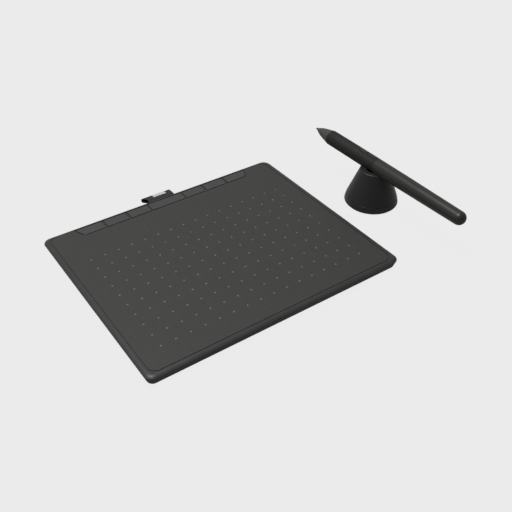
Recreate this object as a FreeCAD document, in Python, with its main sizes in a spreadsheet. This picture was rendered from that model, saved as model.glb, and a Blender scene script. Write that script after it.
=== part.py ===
# Graphics tablet with its pen and the pen's stand, in millimetres.
# The set stands on the desk plane, +Z up, with its origin under the middle of its outline.
import FreeCAD, Part
import math
import os
import Sketcher

# Driving dimensions: name, value, what it is.
SIZES = [
    ("tablet_width", 200.2, "tablet, left to right"),
    ("tablet_depth", 162.4, "tablet, front to back"),
    ("tablet_height", 8.0, "desk to drawing surface"),
    ("corner_round", 6.0, "plan radius of the tablet's corners"),
    ("shoulder_width", 3.7, "rounded border beside the film"),
    ("shoulder_drop", 1.7, "drawing surface down to the case seam"),
    ("shoulder_round", 5.6, "radius of the rounded border"),
    ("edge_land", 0.45, "upright edge above the seam"),
    ("edge_round", 0.3, "rounding of that edge"),
    ("shoulder_corner", 1.7, "tablet edge to where the border's slope would meet the top"),
    ("border_flat", 1.5, "flat inside the rounded border that the plates join"),
    ("plate_lap", 0.5, "how far a plate reaches over that flat"),
    ("plate_thickness", 2.0, "drawing surface down to the underside of the top cover"),
    ("wall_lean", 0.36, "how far the side wall leans in per millimetre of height"),
    ("wall_thickness", 1.6, "side wall of the bottom cover"),
    ("floor_thickness", 1.3, "floor of the bottom cover"),
    ("base_round", 1.2, "rounding under the side wall"),
    ("nest_gap", 0.15, "clearance where the covers nest"),
    ("film_thickness", 0.45, "drawing film"),
    ("film_side_margin", 4.6, "film edge to tablet edge, left and right"),
    ("film_front_margin", 4.2, "film edge to tablet edge, front"),
    ("film_back_margin", 2.7, "film edge to tablet edge, back"),
    ("film_corner", 6.0, "plan radius of the film's corners"),
    ("notch_gap", 0.25, "film's notch beside the key strip"),
    ("notch_round", 0.8, "rounding of the notch's back corners"),
    ("film_gap", 0.5, "gap round the film in its recess"),
    ("area_width", 160.0, "working area, left to right"),
    ("area_depth", 100.0, "working area, front to back"),
    ("area_shift", 10.38, "working area's centre in front of the tablet's centre"),
    ("strip_depth", 12.43, "key strip's front edge to the tablet's back edge"),
    ("strip_front_half", 71.6, "half length of the key strip at its front edge"),
    ("strip_slant", 4.4, "how much wider the strip is at its back edge, each end"),
    ("strip_round", 3.3, "corner radius of the key strip"),
    ("strip_floor", 0.8, "drawing surface down to the floor round the keys"),
    ("key_depth", 8.65, "key, front to back"),
    ("key_back_margin", 3.05, "keys' back edge to the tablet's back edge"),
    ("block_width", 29.4, "fixed block between the two rows of keys"),
    ("block_gap", 1.0, "gap beside that block"),
    ("inner_key", 17.1, "width of the keys beside the block"),
    ("middle_key", 18.0, "width of the middle keys"),
    ("outer_key", 16.9, "width of the outer keys at their front edge"),
    ("key_gap", 1.8, "gap between two keys"),
    ("key_drop", 0.1, "key top below the drawing surface"),
    ("key_play", 0.15, "clearance round a key in its window"),
    ("key_travel", 0.4, "how far a key goes down"),
    ("key_corner", 0.6, "plan radius of a key's corners"),
    ("key_edge", 0.35, "rounding round a key's top"),
    ("key_lip", 0.55, "lip that keeps a key in its window"),
    ("lip_thickness", 0.9, "thickness of that lip"),
    ("stop_gap", 0.1, "vertical clearance at a key's stops"),
    ("sensor_margin", 6.0, "sensor board beyond the working area"),
    ("sensor_corner", 2.0, "plan radius of the sensor board's corners"),
    ("sensor_thickness", 0.8, "sensor board"),
    ("shield_thickness", 0.3, "steel shield under the sensor board"),
    ("shield_short", 6.0, "sensor board's back edge to the shield's back edge"),
    ("board_thickness", 1.0, "main board"),
    ("board_depth", 20.0, "main board, front to back"),
    ("board_back_margin", 4.85, "main board's back edge to the tablet's back edge"),
    ("board_left", 78.0, "main board's reach to the left of the centre"),
    ("board_right_margin", 3.9, "main board's right edge to the tablet's right edge"),
    ("board_rest", 0.3, "height of the rests under the main board"),
    ("board_corner", 1.0, "plan radius of the main board's corners"),
    ("rest_x", 72.0, "board rests beside the centre"),
    ("rest_margin", 3.0, "board rests inside the board's front and back edge"),
    ("rest_radius", 2.0, "board rests"),
    ("rest_pin", 0.8, "radius of the pins on the rests"),
    ("rest_play", 0.15, "clearance round those pins"),
    ("pin_proud", 0.3, "how far a pin stands out of what it holds"),
    ("board_notch", 3.0, "board's notch beside the pen loop"),
    ("board_notch_gap", 1.5, "board's notch in front of the loop's tongue"),
    ("chip_row", 7.0, "middle of the chips behind the board's front edge"),
    ("chip_height", 0.85, "chips on the main board"),
    ("switch_side", 4.5, "side of a key switch"),
    ("switch_height", 0.9, "height of a key switch"),
    ("switch_corner", 0.5, "plan radius of a switch's corners"),
    ("post_radius", 1.2, "key post and its plunger"),
    ("boss_x", 91.0, "outer screws beside the centre"),
    ("boss_front", 72.5, "front screws in front of the centre"),
    ("boss_back", 50.5, "back screws behind the centre"),
    ("boss_length", 2.1, "top cover's screw bosses"),
    ("boss_radius", 2.6, "their radius"),
    ("post_step", 0.5, "how much thicker the posts under the bosses are"),
    ("root", 0.1, "how far a post or pin sinks into what carries it"),
    ("screw_radius", 1.0, "case screw's shank"),
    ("screw_reach", 2.6, "case screw in the top cover"),
    ("bore_spare", 0.2, "screw's bore beyond its tip"),
    ("thread_play", 0.02, "radial clearance in the screw's bore"),
    ("shank_play", 0.15, "radial clearance round the shank in the bottom cover"),
    ("screw_tip", 0.3, "rounding of the screw's tip"),
    ("head_radius", 1.9, "case screw's head"),
    ("head_height", 1.1, "case screw's head"),
    ("head_play", 0.2, "radial clearance round the screw's head"),
    ("head_round", 0.5, "rounding of the screw's head"),
    ("drive_radius", 0.7, "screw's drive recess"),
    ("drive_depth", 0.6, "screw's drive recess"),
    ("head_seat", 0.9, "floor left under the screw's head"),
    ("foot_length", 28.0, "rubber foot, left to right"),
    ("foot_depth", 8.0, "rubber foot, front to back"),
    ("foot_proud", 0.6, "rubber foot below the bottom cover"),
    ("foot_recess", 0.5, "rubber foot in its recess"),
    ("foot_play", 0.1, "clearance round a foot in its recess"),
    ("foot_round", 3.0, "plan radius of a foot's corners"),
    ("foot_edge", 0.3, "rounding of a foot's lower edge"),
    ("foot_x", 68.0, "rubber foot beside the centre"),
    ("foot_y", 66.0, "rubber foot in front of or behind the centre"),
    ("rib_thickness", 1.2, "ribs of the bottom cover"),
    ("rib_margin", 6.0, "ribs inside the shield plate's edges"),
    ("usb_width", 8.94, "socket across"),
    ("usb_height", 3.2, "socket height"),
    ("usb_length", 7.3, "socket, mouth to back"),
    ("usb_skin", 0.3, "socket's metal shell"),
    ("usb_play", 0.2, "clearance round the socket in the wall"),
    ("usb_board_play", 0.15, "clearance round the socket in the board"),
    ("usb_back", 1.0, "socket's closed back"),
    ("usb_tongue_width", 6.6, "contact tongue across"),
    ("usb_tongue", 0.7, "contact tongue's thickness"),
    ("usb_tongue_short", 0.7, "contact tongue behind the mouth"),
    ("usb_y", 63.6, "socket behind the centre"),
    ("usb_inset", 0.3, "mouth behind the wall's face"),
    ("usb_rise", 0.6, "middle of the socket above the board"),
    ("loop_width", 22.2, "pen loop, left to right"),
    ("loop_x", 1.3, "pen loop's middle beside the tablet's centre"),
    ("loop_reach", 12.8, "pen loop behind the tablet"),
    ("loop_top", 4.75, "pen loop's top above the desk"),
    ("loop_bottom", 0.35, "pen loop's lower layer above the desk"),
    ("loop_sag", 0.4, "how much lower the loop's top is at its fold"),
    ("loop_part", 3.8, "where the layers have parted behind the tablet"),
    ("loop_root", 0.6, "where they start to part behind the tablet"),
    ("loop_fold", 1.9, "radius of the loop's fold"),
    ("loop_bend", 3.0, "radius of the webbing's other bends"),
    ("loop_play", 0.3, "clearance beside the loop in its slot"),
    ("webbing", 0.9, "thickness of the webbing"),
    ("tongue", 10.3, "sewn tongue inside the case"),
    ("clamp_depth", 5.0, "clamp bar, front to back"),
    ("clamp_thickness", 0.8, "clamp bar"),
    ("clamp_side", 1.0, "clamp bar beyond the loop, each side"),
    ("clamp_corner", 1.0, "plan radius of the bar's corners"),
    ("clamp_set_back", 6.8, "clamp bar's middle in front of the tablet's back edge"),
    ("clamp_pin_x", 8.0, "clamp pins beside the loop's middle"),
    ("clamp_pin", 1.0, "radius of the clamp pins"),
    ("pin_play", 0.1, "clearance round pins"),
    ("flex_width", 18.0, "flat flex"),
    ("flex_thickness", 0.3, "flat flex"),
    ("flex_lap", 4.5, "flat flex under the sensor board"),
    ("flex_rise", 1.5, "where the flex turns down behind the sensor board"),
    ("flex_landing", 4.0, "where it turns level in front of the main board"),
    ("flex_bend", 1.0, "inner radius of its bends"),
    ("flex_seat", 1.0, "flex inside its connector"),
    ("flex_play", 0.05, "clearance over and under the flex"),
    ("connector_front", 1.5, "connector behind the board's front edge"),
    ("connector_depth", 4.0, "connector, front to back"),
    ("connector_side", 2.0, "connector beyond the flex, each side"),
    ("connector_height", 1.2, "connector"),
    ("connector_slot", 0.5, "slot above the board"),
    ("flex_x", -50.0, "flat flex beside the centre"),
    ("stand_x", 140.6, "stand's axis beside the tablet's centre"),
    ("stand_y", -7.23, "stand's axis behind the tablet's centre"),
    ("stand_height", 30.0, "desk to the stand's rim"),
    ("stand_rim", 11.25, "radius of the rim"),
    ("stand_foot", 20.2, "radius of the shell's lower edge"),
    ("stand_wall", 1.8, "wall of the stand's shell"),
    ("rim_round", 0.9, "rounding of the rim"),
    ("hole_round", 0.5, "rounding of the pen hole's mouth"),
    ("inner_round", 0.8, "roundings inside the stand"),
    ("base_radius", 21.2, "radius of the stand's base"),
    ("base_height", 6.0, "height of the base's shoulder"),
    ("base_lift", 0.4, "base above the desk"),
    ("base_bevel", 1.3, "base's lower edge, inwards and upwards"),
    ("base_edge", 0.9, "rounding of that edge"),
    ("seam_round", 0.3, "roundings at the stand's seam"),
    ("base_floor", 1.9, "underside of the base to the weight"),
    ("pad_recess", 0.5, "pad in its recess"),
    ("pad_rim", 0.7, "pad's recess beyond the spigot"),
    ("pad_play", 0.1, "clearance round the pad"),
    ("weight_play", 0.3, "clearance round the weight"),
    ("spigot_radius", 17.0, "base's spigot in the shell"),
    ("spigot_height", 2.8, "base's spigot above the shoulder"),
    ("spigot_play", 0.08, "radial clearance of the spigot"),
    ("spigot_round", 0.3, "rounding of the spigot's mouth"),
    ("turn_gap", 0.1, "shell above the base's shoulder"),
    ("pen_hole", 6.6, "radius of the upright pen hole"),
    ("pen_hole_floor", 10.4, "floor of the pen hole above the desk"),
    ("pen_hole_round", 1.5, "rounding at the pen hole's floor"),
    ("pen_hole_wall", 1.2, "wall of the pen hole"),
    ("web_depth", 6.0, "solid top of the stand's shell"),
    ("groove_sink", 2.95, "how deep the pen lies below the rim"),
    ("groove_gap", 0.15, "clearance between pen and groove"),
    ("weight_radius", 15.0, "steel weight"),
    ("weight_height", 2.8, "steel weight"),
    ("rack_inner", 8.6, "nib rack's inner radius"),
    ("rack_outer", 14.8, "nib rack's outer radius"),
    ("rack_height", 3.4, "nib rack"),
    ("rack_bore", 3.0, "depth of the nibs' bores"),
    ("rack_round", 0.4, "rounding of the rack's top"),
    ("rack_circle", 10.3, "circle of the spare nibs"),
    ("nib_play", 0.05, "clearance round a spare nib"),
    ("puller_outer", 6.0, "nib puller's ring"),
    ("puller_inner", 4.4, "nib puller's ring"),
    ("puller_height", 1.2, "nib puller"),
    ("puller_gap", 1.4, "gap in the puller's ring"),
    ("pen_overhang", 71.65, "pen's tip behind the stand's axis"),
    ("pen_length", 161.4, "pen, tip to end"),
    ("nib_radius", 0.8, "nib"),
    ("nib_length", 17.0, "nib"),
    ("nib_proud", 3.0, "nib in front of the nose cone"),
    ("nib_travel", 0.4, "how far the nib goes in"),
    ("nib_guide_play", 0.2, "radial clearance of the nib in the nose cone"),
    ("grip_fit", 0.02, "radial clearance where a piece is pressed on"),
    ("holder_start", 12.0, "nib holder's front end behind the tip"),
    ("holder_gap", 1.0, "room in the nose cone before the holder"),
    ("holder_radius", 1.5, "nib holder round the nib"),
    ("holder_rod", 0.8, "its rod through the ferrite core"),
    ("holder_flange", 2.2, "its flange before the pressure sensor"),
    ("flange_gap", 2.0, "ferrite core to that flange"),
    ("flange_thickness", 1.0, "that flange"),
    ("nose_front", 1.65, "nose cone's front edge"),
    ("nose_first", 7.5, "first turn of the nose cone behind the tip"),
    ("nose_first_radius", 3.35, "nose cone there"),
    ("nose_second", 12.4, "second turn of the nose cone behind the tip"),
    ("nose_second_radius", 4.55, "nose cone there"),
    ("nose_bend", 14.0, "how softly the nose cone turns"),
    ("nose_spigot", 2.5, "nose cone in the tube"),
    ("nose_spigot_wall", 0.5, "wall of that spigot"),
    ("nose_end", 19.2, "nose cone's back edge behind the tip"),
    ("nose_radius", 5.95, "nose cone's back edge"),
    ("piece_gap", 0.1, "gap between the pen's outer pieces"),
    ("grip_radius", 6.05, "widest part of the grip"),
    ("grip_end", 73.3, "grip's back edge behind the tip"),
    ("grip_edge", 0.25, "rounding of the grip's front edge"),
    ("grip_middle", 56.0, "where the grip starts to narrow behind the tip"),
    ("grip_wall", 1.1, "soft grip sleeve"),
    ("barrel_radius", 6.0, "rear barrel at the grip"),
    ("tube_wall", 1.0, "hard tube under the grip"),
    ("tube_play", 0.05, "radial clearance inside the tube"),
    ("barrel_middle", 100.0, "first turn of the rear barrel behind the tip"),
    ("barrel_middle_radius", 5.85, "rear barrel there"),
    ("barrel_rear", 140.0, "second turn of the rear barrel behind the tip"),
    ("barrel_rear_radius", 5.38, "rear barrel there"),
    ("barrel_bend", 90.0, "how softly the rear barrel turns"),
    ("barrel_wall", 1.3, "rear barrel behind the tube"),
    ("barrel_cap", 3.0, "rear barrel's closed end"),
    ("joint_end", 82.8, "end of the tube inside the rear barrel"),
    ("end_radius", 5.1, "rear barrel's end"),
    ("end_round", 4.95, "rounding of that end"),
    ("button_length", 8.4, "side button along the pen"),
    ("button_width", 3.8, "side button across the pen"),
    ("button_gap", 1.6, "gap between the two buttons"),
    ("button_front", 53.0, "front button's front edge behind the tip"),
    ("button_proud", 0.2, "side button above the grip"),
    ("button_play", 0.15, "clearance round the side buttons"),
    ("button_travel", 0.3, "how far a side button goes in"),
    ("button_lip", 0.8, "lip that keeps a button in, each side"),
    ("button_lip_end", 0.3, "that lip beyond the button's ends"),
    ("button_lip_top", 2.8, "top of the lip above the pen's axis"),
    ("button_lip_thickness", 0.6, "that lip"),
    ("button_corner", 1.5, "plan radius of a button's corners"),
    ("button_edge", 0.3, "rounding round a button's top"),
    ("button_stem", 0.9, "radius of a button's stem"),
    ("pen_board_drop", 0.45, "pen board's underside below the pen's axis"),
    ("pen_board_thickness", 0.8, "pen board"),
    ("pen_switch_height", 1.2, "switches under the side buttons"),
    ("pen_switch_width", 3.5, "those switches across the pen"),
    ("pen_switch_length", 3.0, "those switches along the pen"),
    ("pen_switch_corner", 0.3, "plan radius of their corners"),
    ("frame_wall", 0.6, "wall of the pen's inner frame"),
    ("frame_play", 0.1, "radial clearance of the frame in the tube"),
    ("frame_start", 2.8, "frame behind the nose cone"),
    ("frame_front", 1.4, "frame's front wall"),
    ("frame_web", 0.7, "frame's wall behind the coil"),
    ("frame_short", 3.0, "frame's end before the tube's end"),
    ("ferrite_set_back", 0.5, "ferrite core behind the frame's front"),
    ("ferrite_length", 10.2, "ferrite core"),
    ("ferrite_radius", 2.2, "ferrite core"),
    ("ferrite_bore", 1.1, "its bore"),
    ("coil_radius", 3.2, "pickup coil"),
    ("coil_gap", 0.3, "coil inside the frame's walls"),
    ("coil_edge", 0.3, "rounding of the coil's edges"),
    ("sensor_button", 1.2, "radius of the pressure sensor's button"),
    ("sensor_button_length", 0.6, "that button"),
    ("sensor_length", 6.2, "pressure sensor behind its button"),
    ("pen_board_gap", 1.3, "pressure sensor to the pen board"),
    ("pen_board_short", 1.0, "pen board's end before the frame's end"),
    ("pen_board_side", 0.2, "pen board inside the frame's outside"),
    ("pen_board_corner", 0.6, "plan radius of the pen board's corners"),
]

doc = FreeCAD.newDocument("GraphicsTablet")
sheet = doc.addObject("Spreadsheet::Sheet", "Sizes")
NUMBERS = {}
VOLUMES = {}


class Size:
    """A length that carries its number together with its formula in the sheet."""

    def __init__(self, number, formula):
        self.number = number
        self.formula = formula

    def __add__(self, other):
        other = as_size(other)
        return Size(self.number + other.number, f"({self.formula} + {other.formula})")

    def __sub__(self, other):
        other = as_size(other)
        return Size(self.number - other.number, f"({self.formula} - {other.formula})")

    def __mul__(self, factor):
        return Size(self.number * factor, f"({self.formula} * {factor})")

    def __radd__(self, other):
        return as_size(other) + self

    def __rsub__(self, other):
        return as_size(other) - self

    def __truediv__(self, factor):
        return Size(self.number / factor, f"({self.formula} / {factor})")

    def __neg__(self):
        return Size(-self.number, f"(0 - {self.formula})")


def as_size(value):
    """Turns a plain number into a size; a size stays as it is."""
    if isinstance(value, Size):
        return value
    return Size(float(value), f"({float(value)})")


def product(first, second):
    """Multiplies two sizes, such as a slope and a height."""
    return Size(first.number * second.number, f"({first.formula} * {second.formula})")


def ratio(first, second):
    """Divides one size by another, such as a width by a height."""
    return Size(first.number / second.number, f"({first.formula} / {second.formula})")


def fill_sheet():
    """Writes the driving dimensions into the sheet, one named cell each."""
    for row, (name, number, meaning) in enumerate(SIZES, start=1):
        sheet.set(f"A{row}", meaning)
        sheet.set(f"B{row}", str(number))
        sheet.setAlias(f"B{row}", name)
        NUMBERS[name] = number
    doc.recompute()


def size(name):
    """The driving dimension of that name."""
    return Size(NUMBERS[name], f"Sizes.{name}")


fill_sheet()

# Heights above the desk.
TOP = size("tablet_height")
SEAM = TOP - size("shoulder_drop")
PLATE = TOP - size("plate_thickness")
FILM_FLOOR = TOP - size("film_thickness")
BASE = size("foot_proud")
FLOOR = BASE + size("floor_thickness")
SENSOR_BOTTOM = PLATE - size("sensor_thickness")
SHIELD_BOTTOM = SENSOR_BOTTOM - size("shield_thickness")
BOARD_BOTTOM = FLOOR + size("board_rest")
BOARD_TOP = BOARD_BOTTOM + size("board_thickness")
SWITCH_TOP = BOARD_TOP + size("switch_height")
BOSS_SEAT = PLATE - size("boss_length")
USB_MIDDLE = BOARD_TOP + size("usb_rise")
TONGUE_TOP = FLOOR + size("webbing") * 2
CLAMP_TOP = TONGUE_TOP + size("clamp_thickness")

# Places in the tablet's plan, about its centre.
HALF_X = size("tablet_width") / 2
HALF_Y = size("tablet_depth") / 2
KEY_BACK = HALF_Y - size("key_back_margin")
KEY_FRONT = KEY_BACK - size("key_depth")
KEY_MIDDLE = (KEY_FRONT + KEY_BACK) / 2
STRIP_FRONT = HALF_Y - size("strip_depth")
STRIP_BACK = HALF_Y - size("film_back_margin") + size("film_gap")
STRIP_HALF_FRONT = size("strip_front_half")
STRIP_HALF_BACK = STRIP_HALF_FRONT + size("strip_slant")
AREA_MIDDLE = -size("area_shift")
SENSOR_HALF_X = size("area_width") / 2 + size("sensor_margin")
SENSOR_FRONT = AREA_MIDDLE - size("area_depth") / 2 - size("sensor_margin")
SENSOR_BACK = AREA_MIDDLE + size("area_depth") / 2 + size("sensor_margin")
BOARD_BACK = HALF_Y - size("board_back_margin")
BOARD_FRONT = BOARD_BACK - size("board_depth")
BOARD_RIGHT = HALF_X - size("board_right_margin")
FLEX_X = size("flex_x")
CLAMP_Y = HALF_Y - size("clamp_set_back")
USB_MOUTH = HALF_X - product(size("wall_lean"), SEAM - USB_MIDDLE) - size("usb_inset")
LAP_INSET = size("border_flat") - size("plate_lap")
SHIELD_BACK = SENSOR_BACK - size("shield_short")

# Heights and places of the pen, about its tip and its axis.
PEN_AXIS = size("stand_height") - size("groove_sink") + size("barrel_radius")
TUBE_RADIUS = size("grip_radius") - size("grip_wall")
TUBE_BORE = TUBE_RADIUS - size("tube_wall")
BUTTON_MIDDLES = [
    size("button_front") + size("button_length") / 2,
    size("button_front") + size("button_length") * 1.5 + size("button_gap"),
]
PEN_BOARD_BOTTOM = -size("pen_board_drop")
PEN_BOARD_TOP = PEN_BOARD_BOTTOM + size("pen_board_thickness")
PEN_SWITCH_TOP = PEN_BOARD_TOP + size("pen_switch_height")
FRAME_OUTER = TUBE_BORE - size("frame_play")
FRAME_INNER = FRAME_OUTER - size("frame_wall")
FRAME_START = size("nose_end") + size("frame_start")
FRAME_END = size("joint_end") - size("frame_short")
FERRITE_START = FRAME_START + size("ferrite_set_back")
FERRITE_END = FERRITE_START + size("ferrite_length")
FLANGE_START = FERRITE_END + size("flange_gap")
FLANGE_END = FLANGE_START + size("flange_thickness")
SENSOR_BUTTON = FLANGE_END + size("nib_travel") + size("piece_gap")
SENSOR_END = SENSOR_BUTTON + size("sensor_button_length") + size("sensor_length")

# Heights of the stand.
WEIGHT_SEAT = size("base_lift") + size("base_floor")
RACK_SEAT = WEIGHT_SEAT + size("weight_height")
RACK_TOP = RACK_SEAT + size("rack_height")
NIB_SEAT = RACK_TOP - size("rack_bore")
SHELL_BOTTOM = size("base_height") + size("turn_gap")

# How often things repeat, roundings given as shares, and how far a cut runs past its piece.
RIB_ROWS = 5
RIB_COLUMNS = 4
SPARE_NIBS = 8
OVAL_ENDS = 0.95
CUT_OVER = 1.0
NIB_ROUNDING = 0.8

# Chips on the main board: place beside the centre, width, depth.
CHIPS = [(-20.0, 7.0, 7.0), (-6.0, 5.2, 4.0), (22.0, 4.0, 5.0), (34.0, 3.2, 2.5)]

# Middle of the whole set's outline, which the origin lies under.
LEFT = -HALF_X
RIGHT = size("stand_x") + size("base_radius")
PEN_TIP = size("stand_y") + size("pen_overhang")
FRONT = PEN_TIP - size("pen_length")
BACK = HALF_Y + size("loop_reach")
MIDDLE_X = (LEFT + RIGHT) / 2
MIDDLE_Y = (FRONT + BACK) / 2


def tie(thing, field, value):
    """Sets a number on an object and binds it to the sheet."""
    thing.setExpression(field, as_size(value).formula)


def start_body(name, x=0.0, y=0.0, z=0.0):
    """Opens a sub-part whose own origin lies at x, y, z from the tablet's centre on the desk."""
    body = doc.addObject("PartDesign::Body", name)
    body.Label = name
    body.AllowCompound = True
    tie(body, "Placement.Base.x", as_size(x) - MIDDLE_X)
    tie(body, "Placement.Base.y", as_size(y) - MIDDLE_Y)
    tie(body, "Placement.Base.z", as_size(z))
    return body


def pen_body(name, behind_tip=0.0):
    """Opens a pen piece, whose origin lies on the pen's axis, that far behind the tip."""
    return start_body(name, size("stand_x"), PEN_TIP - as_size(behind_tip), PEN_AXIS)


def stand_body(name):
    """Opens a stand piece, whose origin lies on the stand's axis at the desk."""
    return start_body(name, size("stand_x"), size("stand_y"))


def origin_feature(body, role):
    """One of the body's own origin planes or axes."""
    return next(item for item in body.Origin.OriginFeatures if item.Role == role)


def sketch_on(body, name, role="XY_Plane", offset=0.0):
    """A sketch on one of the body's origin planes, moved along the plane's normal."""
    sketch = body.newObject("Sketcher::SketchObject", name)
    sketch.AttachmentSupport = (origin_feature(body, role), "")
    sketch.MapMode = "FlatFace"
    offset = as_size(offset)
    sketch.AttachmentOffset = FreeCAD.Placement(
        FreeCAD.Vector(0, 0, offset.number), FreeCAD.Rotation())
    tie(sketch, "AttachmentOffset.Base.z", offset)
    return sketch


def dimension(sketch, kind, item, value):
    """Adds one dimension and binds it to the sheet."""
    value = as_size(value)
    index = sketch.addConstraint(Sketcher.Constraint(kind, *item, value.number))
    if "Sizes" in value.formula:
        sketch.setExpression(f"Constraints[{index}]", value.formula)


def rounded_corner(before, corner, after, radius):
    """The arc that rounds a corner, with its two ends in travelling order."""
    back = (before - corner).normalize()
    ahead = (after - corner).normalize()
    half = back.getAngle(ahead) / 2
    entry = corner + back * (radius / math.tan(half))
    leave = corner + ahead * (radius / math.tan(half))
    centre = corner + (back + ahead).normalize() * (radius / math.sin(half))
    first = math.atan2(entry.y - centre.y, entry.x - centre.x)
    last = math.atan2(leave.y - centre.y, leave.x - centre.x)
    counterclockwise = (last - first) % (2 * math.pi) < math.pi
    if not counterclockwise:
        first, last = last, first
    arc = Part.ArcOfCircle(Part.Circle(centre, FreeCAD.Vector(0, 0, 1), radius), first, last)
    ends = (1, 2) if counterclockwise else (2, 1)
    return entry, leave, arc, ends


def outline(sketch, corners):
    """Closes a line through corners (x, y) or (x, y, rounding), dimensioned from the sheet."""
    places = [[as_size(value) for value in corner] for corner in corners]
    points = [FreeCAD.Vector(place[0].number, place[1].number, 0) for place in places]
    count = len(points)
    entries, leaves, arcs = list(points), list(points), {}
    for i, place in enumerate(places):
        if len(place) == 3:
            entry, leave, arc, ends = rounded_corner(
                points[i - 1], points[i], points[(i + 1) % count], place[2].number)
            entries[i], leaves[i] = entry, leave
            arcs[i] = (sketch.addGeometry(arc), ends)
    lines = [sketch.addGeometry(Part.LineSegment(leaves[i], entries[(i + 1) % count]))
             for i in range(count)]
    for i, place in enumerate(places):
        before, after = lines[i - 1], lines[i]
        if i in arcs:
            arc, ends = arcs[i]
            corner = sketch.addGeometry(Part.Point(points[i]), True)
            sketch.addConstraint([
                Sketcher.Constraint("Tangent", before, 2, arc, ends[0]),
                Sketcher.Constraint("Tangent", arc, ends[1], after, 1),
                Sketcher.Constraint("PointOnObject", corner, 1, before),
                Sketcher.Constraint("PointOnObject", corner, 1, after)])
            dimension(sketch, "Radius", (arc,), place[2])
            spot = (corner, 1)
        else:
            sketch.addConstraint(Sketcher.Constraint("Coincident", before, 2, after, 1))
            spot = (after, 1)
        dimension(sketch, "DistanceX", spot, place[0])
        dimension(sketch, "DistanceY", spot, place[1])


def box(sketch, left, right, front, back, rounding=None):
    """A rectangle between two x and two y places."""
    places = [(left, front), (right, front), (right, back), (left, back)]
    if rounding is not None:
        places = [place + (rounding,) for place in places]
    outline(sketch, places)


def circle(sketch, x, y, radius):
    """A circle about x, y."""
    centre = FreeCAD.Vector(as_size(x).number, as_size(y).number, 0)
    item = sketch.addGeometry(
        Part.Circle(centre, FreeCAD.Vector(0, 0, 1), as_size(radius).number))
    dimension(sketch, "Radius", (item,), radius)
    dimension(sketch, "DistanceX", (item, 3), x)
    dimension(sketch, "DistanceY", (item, 3), y)


def finish_feature(body, feature, grows):
    """Recomputes a feature and makes sure that it added or removed material."""
    doc.recompute()
    change = feature.Shape.Volume - VOLUMES.get(body.Name, 0.0)
    worked = change > 1e-6 if grows else change < -1e-6
    if not worked or not feature.Shape.isValid():
        raise RuntimeError(f"{body.Label}: {feature.Label} changed the volume by {change}")
    VOLUMES[body.Name] = feature.Shape.Volume
    return feature


def pad(body, sketch, length, name, down=False, both_ways=False):
    """Adds material along the sketch's normal."""
    feature = body.newObject("PartDesign::Pad", name)
    feature.Profile = sketch
    tie(feature, "Length", length)
    feature.Reversed = down
    if both_ways:
        feature.SideType = "Symmetric"
    return finish_feature(body, feature, True)


def pocket(body, sketch, depth, name, along_normal=False, both_ways=False):
    """Removes material against the sketch's normal, or along it."""
    feature = body.newObject("PartDesign::Pocket", name)
    feature.Profile = sketch
    feature.Reversed = along_normal
    tie(feature, "Length", depth)
    if both_ways:
        feature.SideType = "Symmetric"
    return finish_feature(body, feature, False)


def revolve(body, sketch, axis, name):
    """Turns a profile about one of its sketch's axes."""
    feature = body.newObject("PartDesign::Revolution", name)
    feature.Profile = sketch
    feature.ReferenceAxis = (sketch, [axis])
    return finish_feature(body, feature, True)


def grid(body, feature, name, along_x, along_y, grows=True):
    """Repeats a feature in a grid: each direction is a count and the overall distance."""
    pattern = body.newObject("PartDesign::LinearPattern", name)
    pattern.Originals = [feature]
    pattern.Direction = (origin_feature(body, "X_Axis"), [""])
    pattern.Occurrences = along_x[0]
    tie(pattern, "Length", along_x[1])
    pattern.Direction2 = (origin_feature(body, "Y_Axis"), [""])
    pattern.Occurrences2 = along_y[0]
    tie(pattern, "Length2", along_y[1])
    body.Tip = pattern
    return finish_feature(body, pattern, grows)


def round_edges(body, radius, name, wanted):
    """Rounds the edges of the body's tip that the test picks out."""
    base = body.Tip
    names = [f"Edge{number}" for number, edge in enumerate(base.Shape.Edges, start=1)
             if wanted(edge)]
    feature = body.newObject("PartDesign::Fillet", name)
    feature.Base = (base, names)
    tie(feature, "Radius", radius)
    return finish_feature(body, feature, False)


def lies_at(edge, height):
    """True for an edge that lies flat at that height."""
    box_of_edge = edge.BoundBox
    return (abs(box_of_edge.ZMin - height.number) < 1e-4
            and abs(box_of_edge.ZMax - height.number) < 1e-4)


def turned(body, profile, name="Profile"):
    """A body turned about its upright axis from (radius, height) corners."""
    sketch = sketch_on(body, name, "XZ_Plane")
    outline(sketch, profile)
    return revolve(body, sketch, "V_Axis", "Turning")


def turned_pen(body, profile):
    """A pen piece turned about the pen's axis from (distance behind its origin, radius) corners."""
    sketch = sketch_on(body, "Profile", "YZ_Plane")
    outline(sketch, [(-as_size(corner[0]), *corner[1:]) for corner in profile])
    return revolve(body, sketch, "H_Axis", "Turning")


def key_plans():
    """Plans of the six keys, left to right: left and right edge in front, then the same behind."""
    inner = size("block_width") / 2 + size("block_gap")
    middle = inner + size("inner_key") + size("key_gap")
    outer = middle + size("middle_key") + size("key_gap")
    outer_end = outer + size("outer_key")
    slant = ratio(size("strip_slant"), STRIP_BACK - STRIP_FRONT)
    right = [
        (inner, inner + size("inner_key"), inner, inner + size("inner_key")),
        (middle, middle + size("middle_key"), middle, middle + size("middle_key")),
        (outer, outer_end, outer, outer_end + product(slant, size("key_depth"))),
    ]
    left = [(-plan[1], -plan[0], -plan[3], -plan[2]) for plan in reversed(right)]
    return left + right


def key_outline(plan, play=0.0, lip=0.0, centre=0.0):
    """Corners of a key or its window, grown by a play all round and a lip front and back."""
    left_front, right_front, left_back, right_back = plan
    front = KEY_FRONT - play - lip
    back = KEY_BACK + play + lip
    return [(left_front - play - centre, front), (right_front + play - centre, front),
            (right_back + play - centre, back), (left_back - play - centre, back)]


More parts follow.
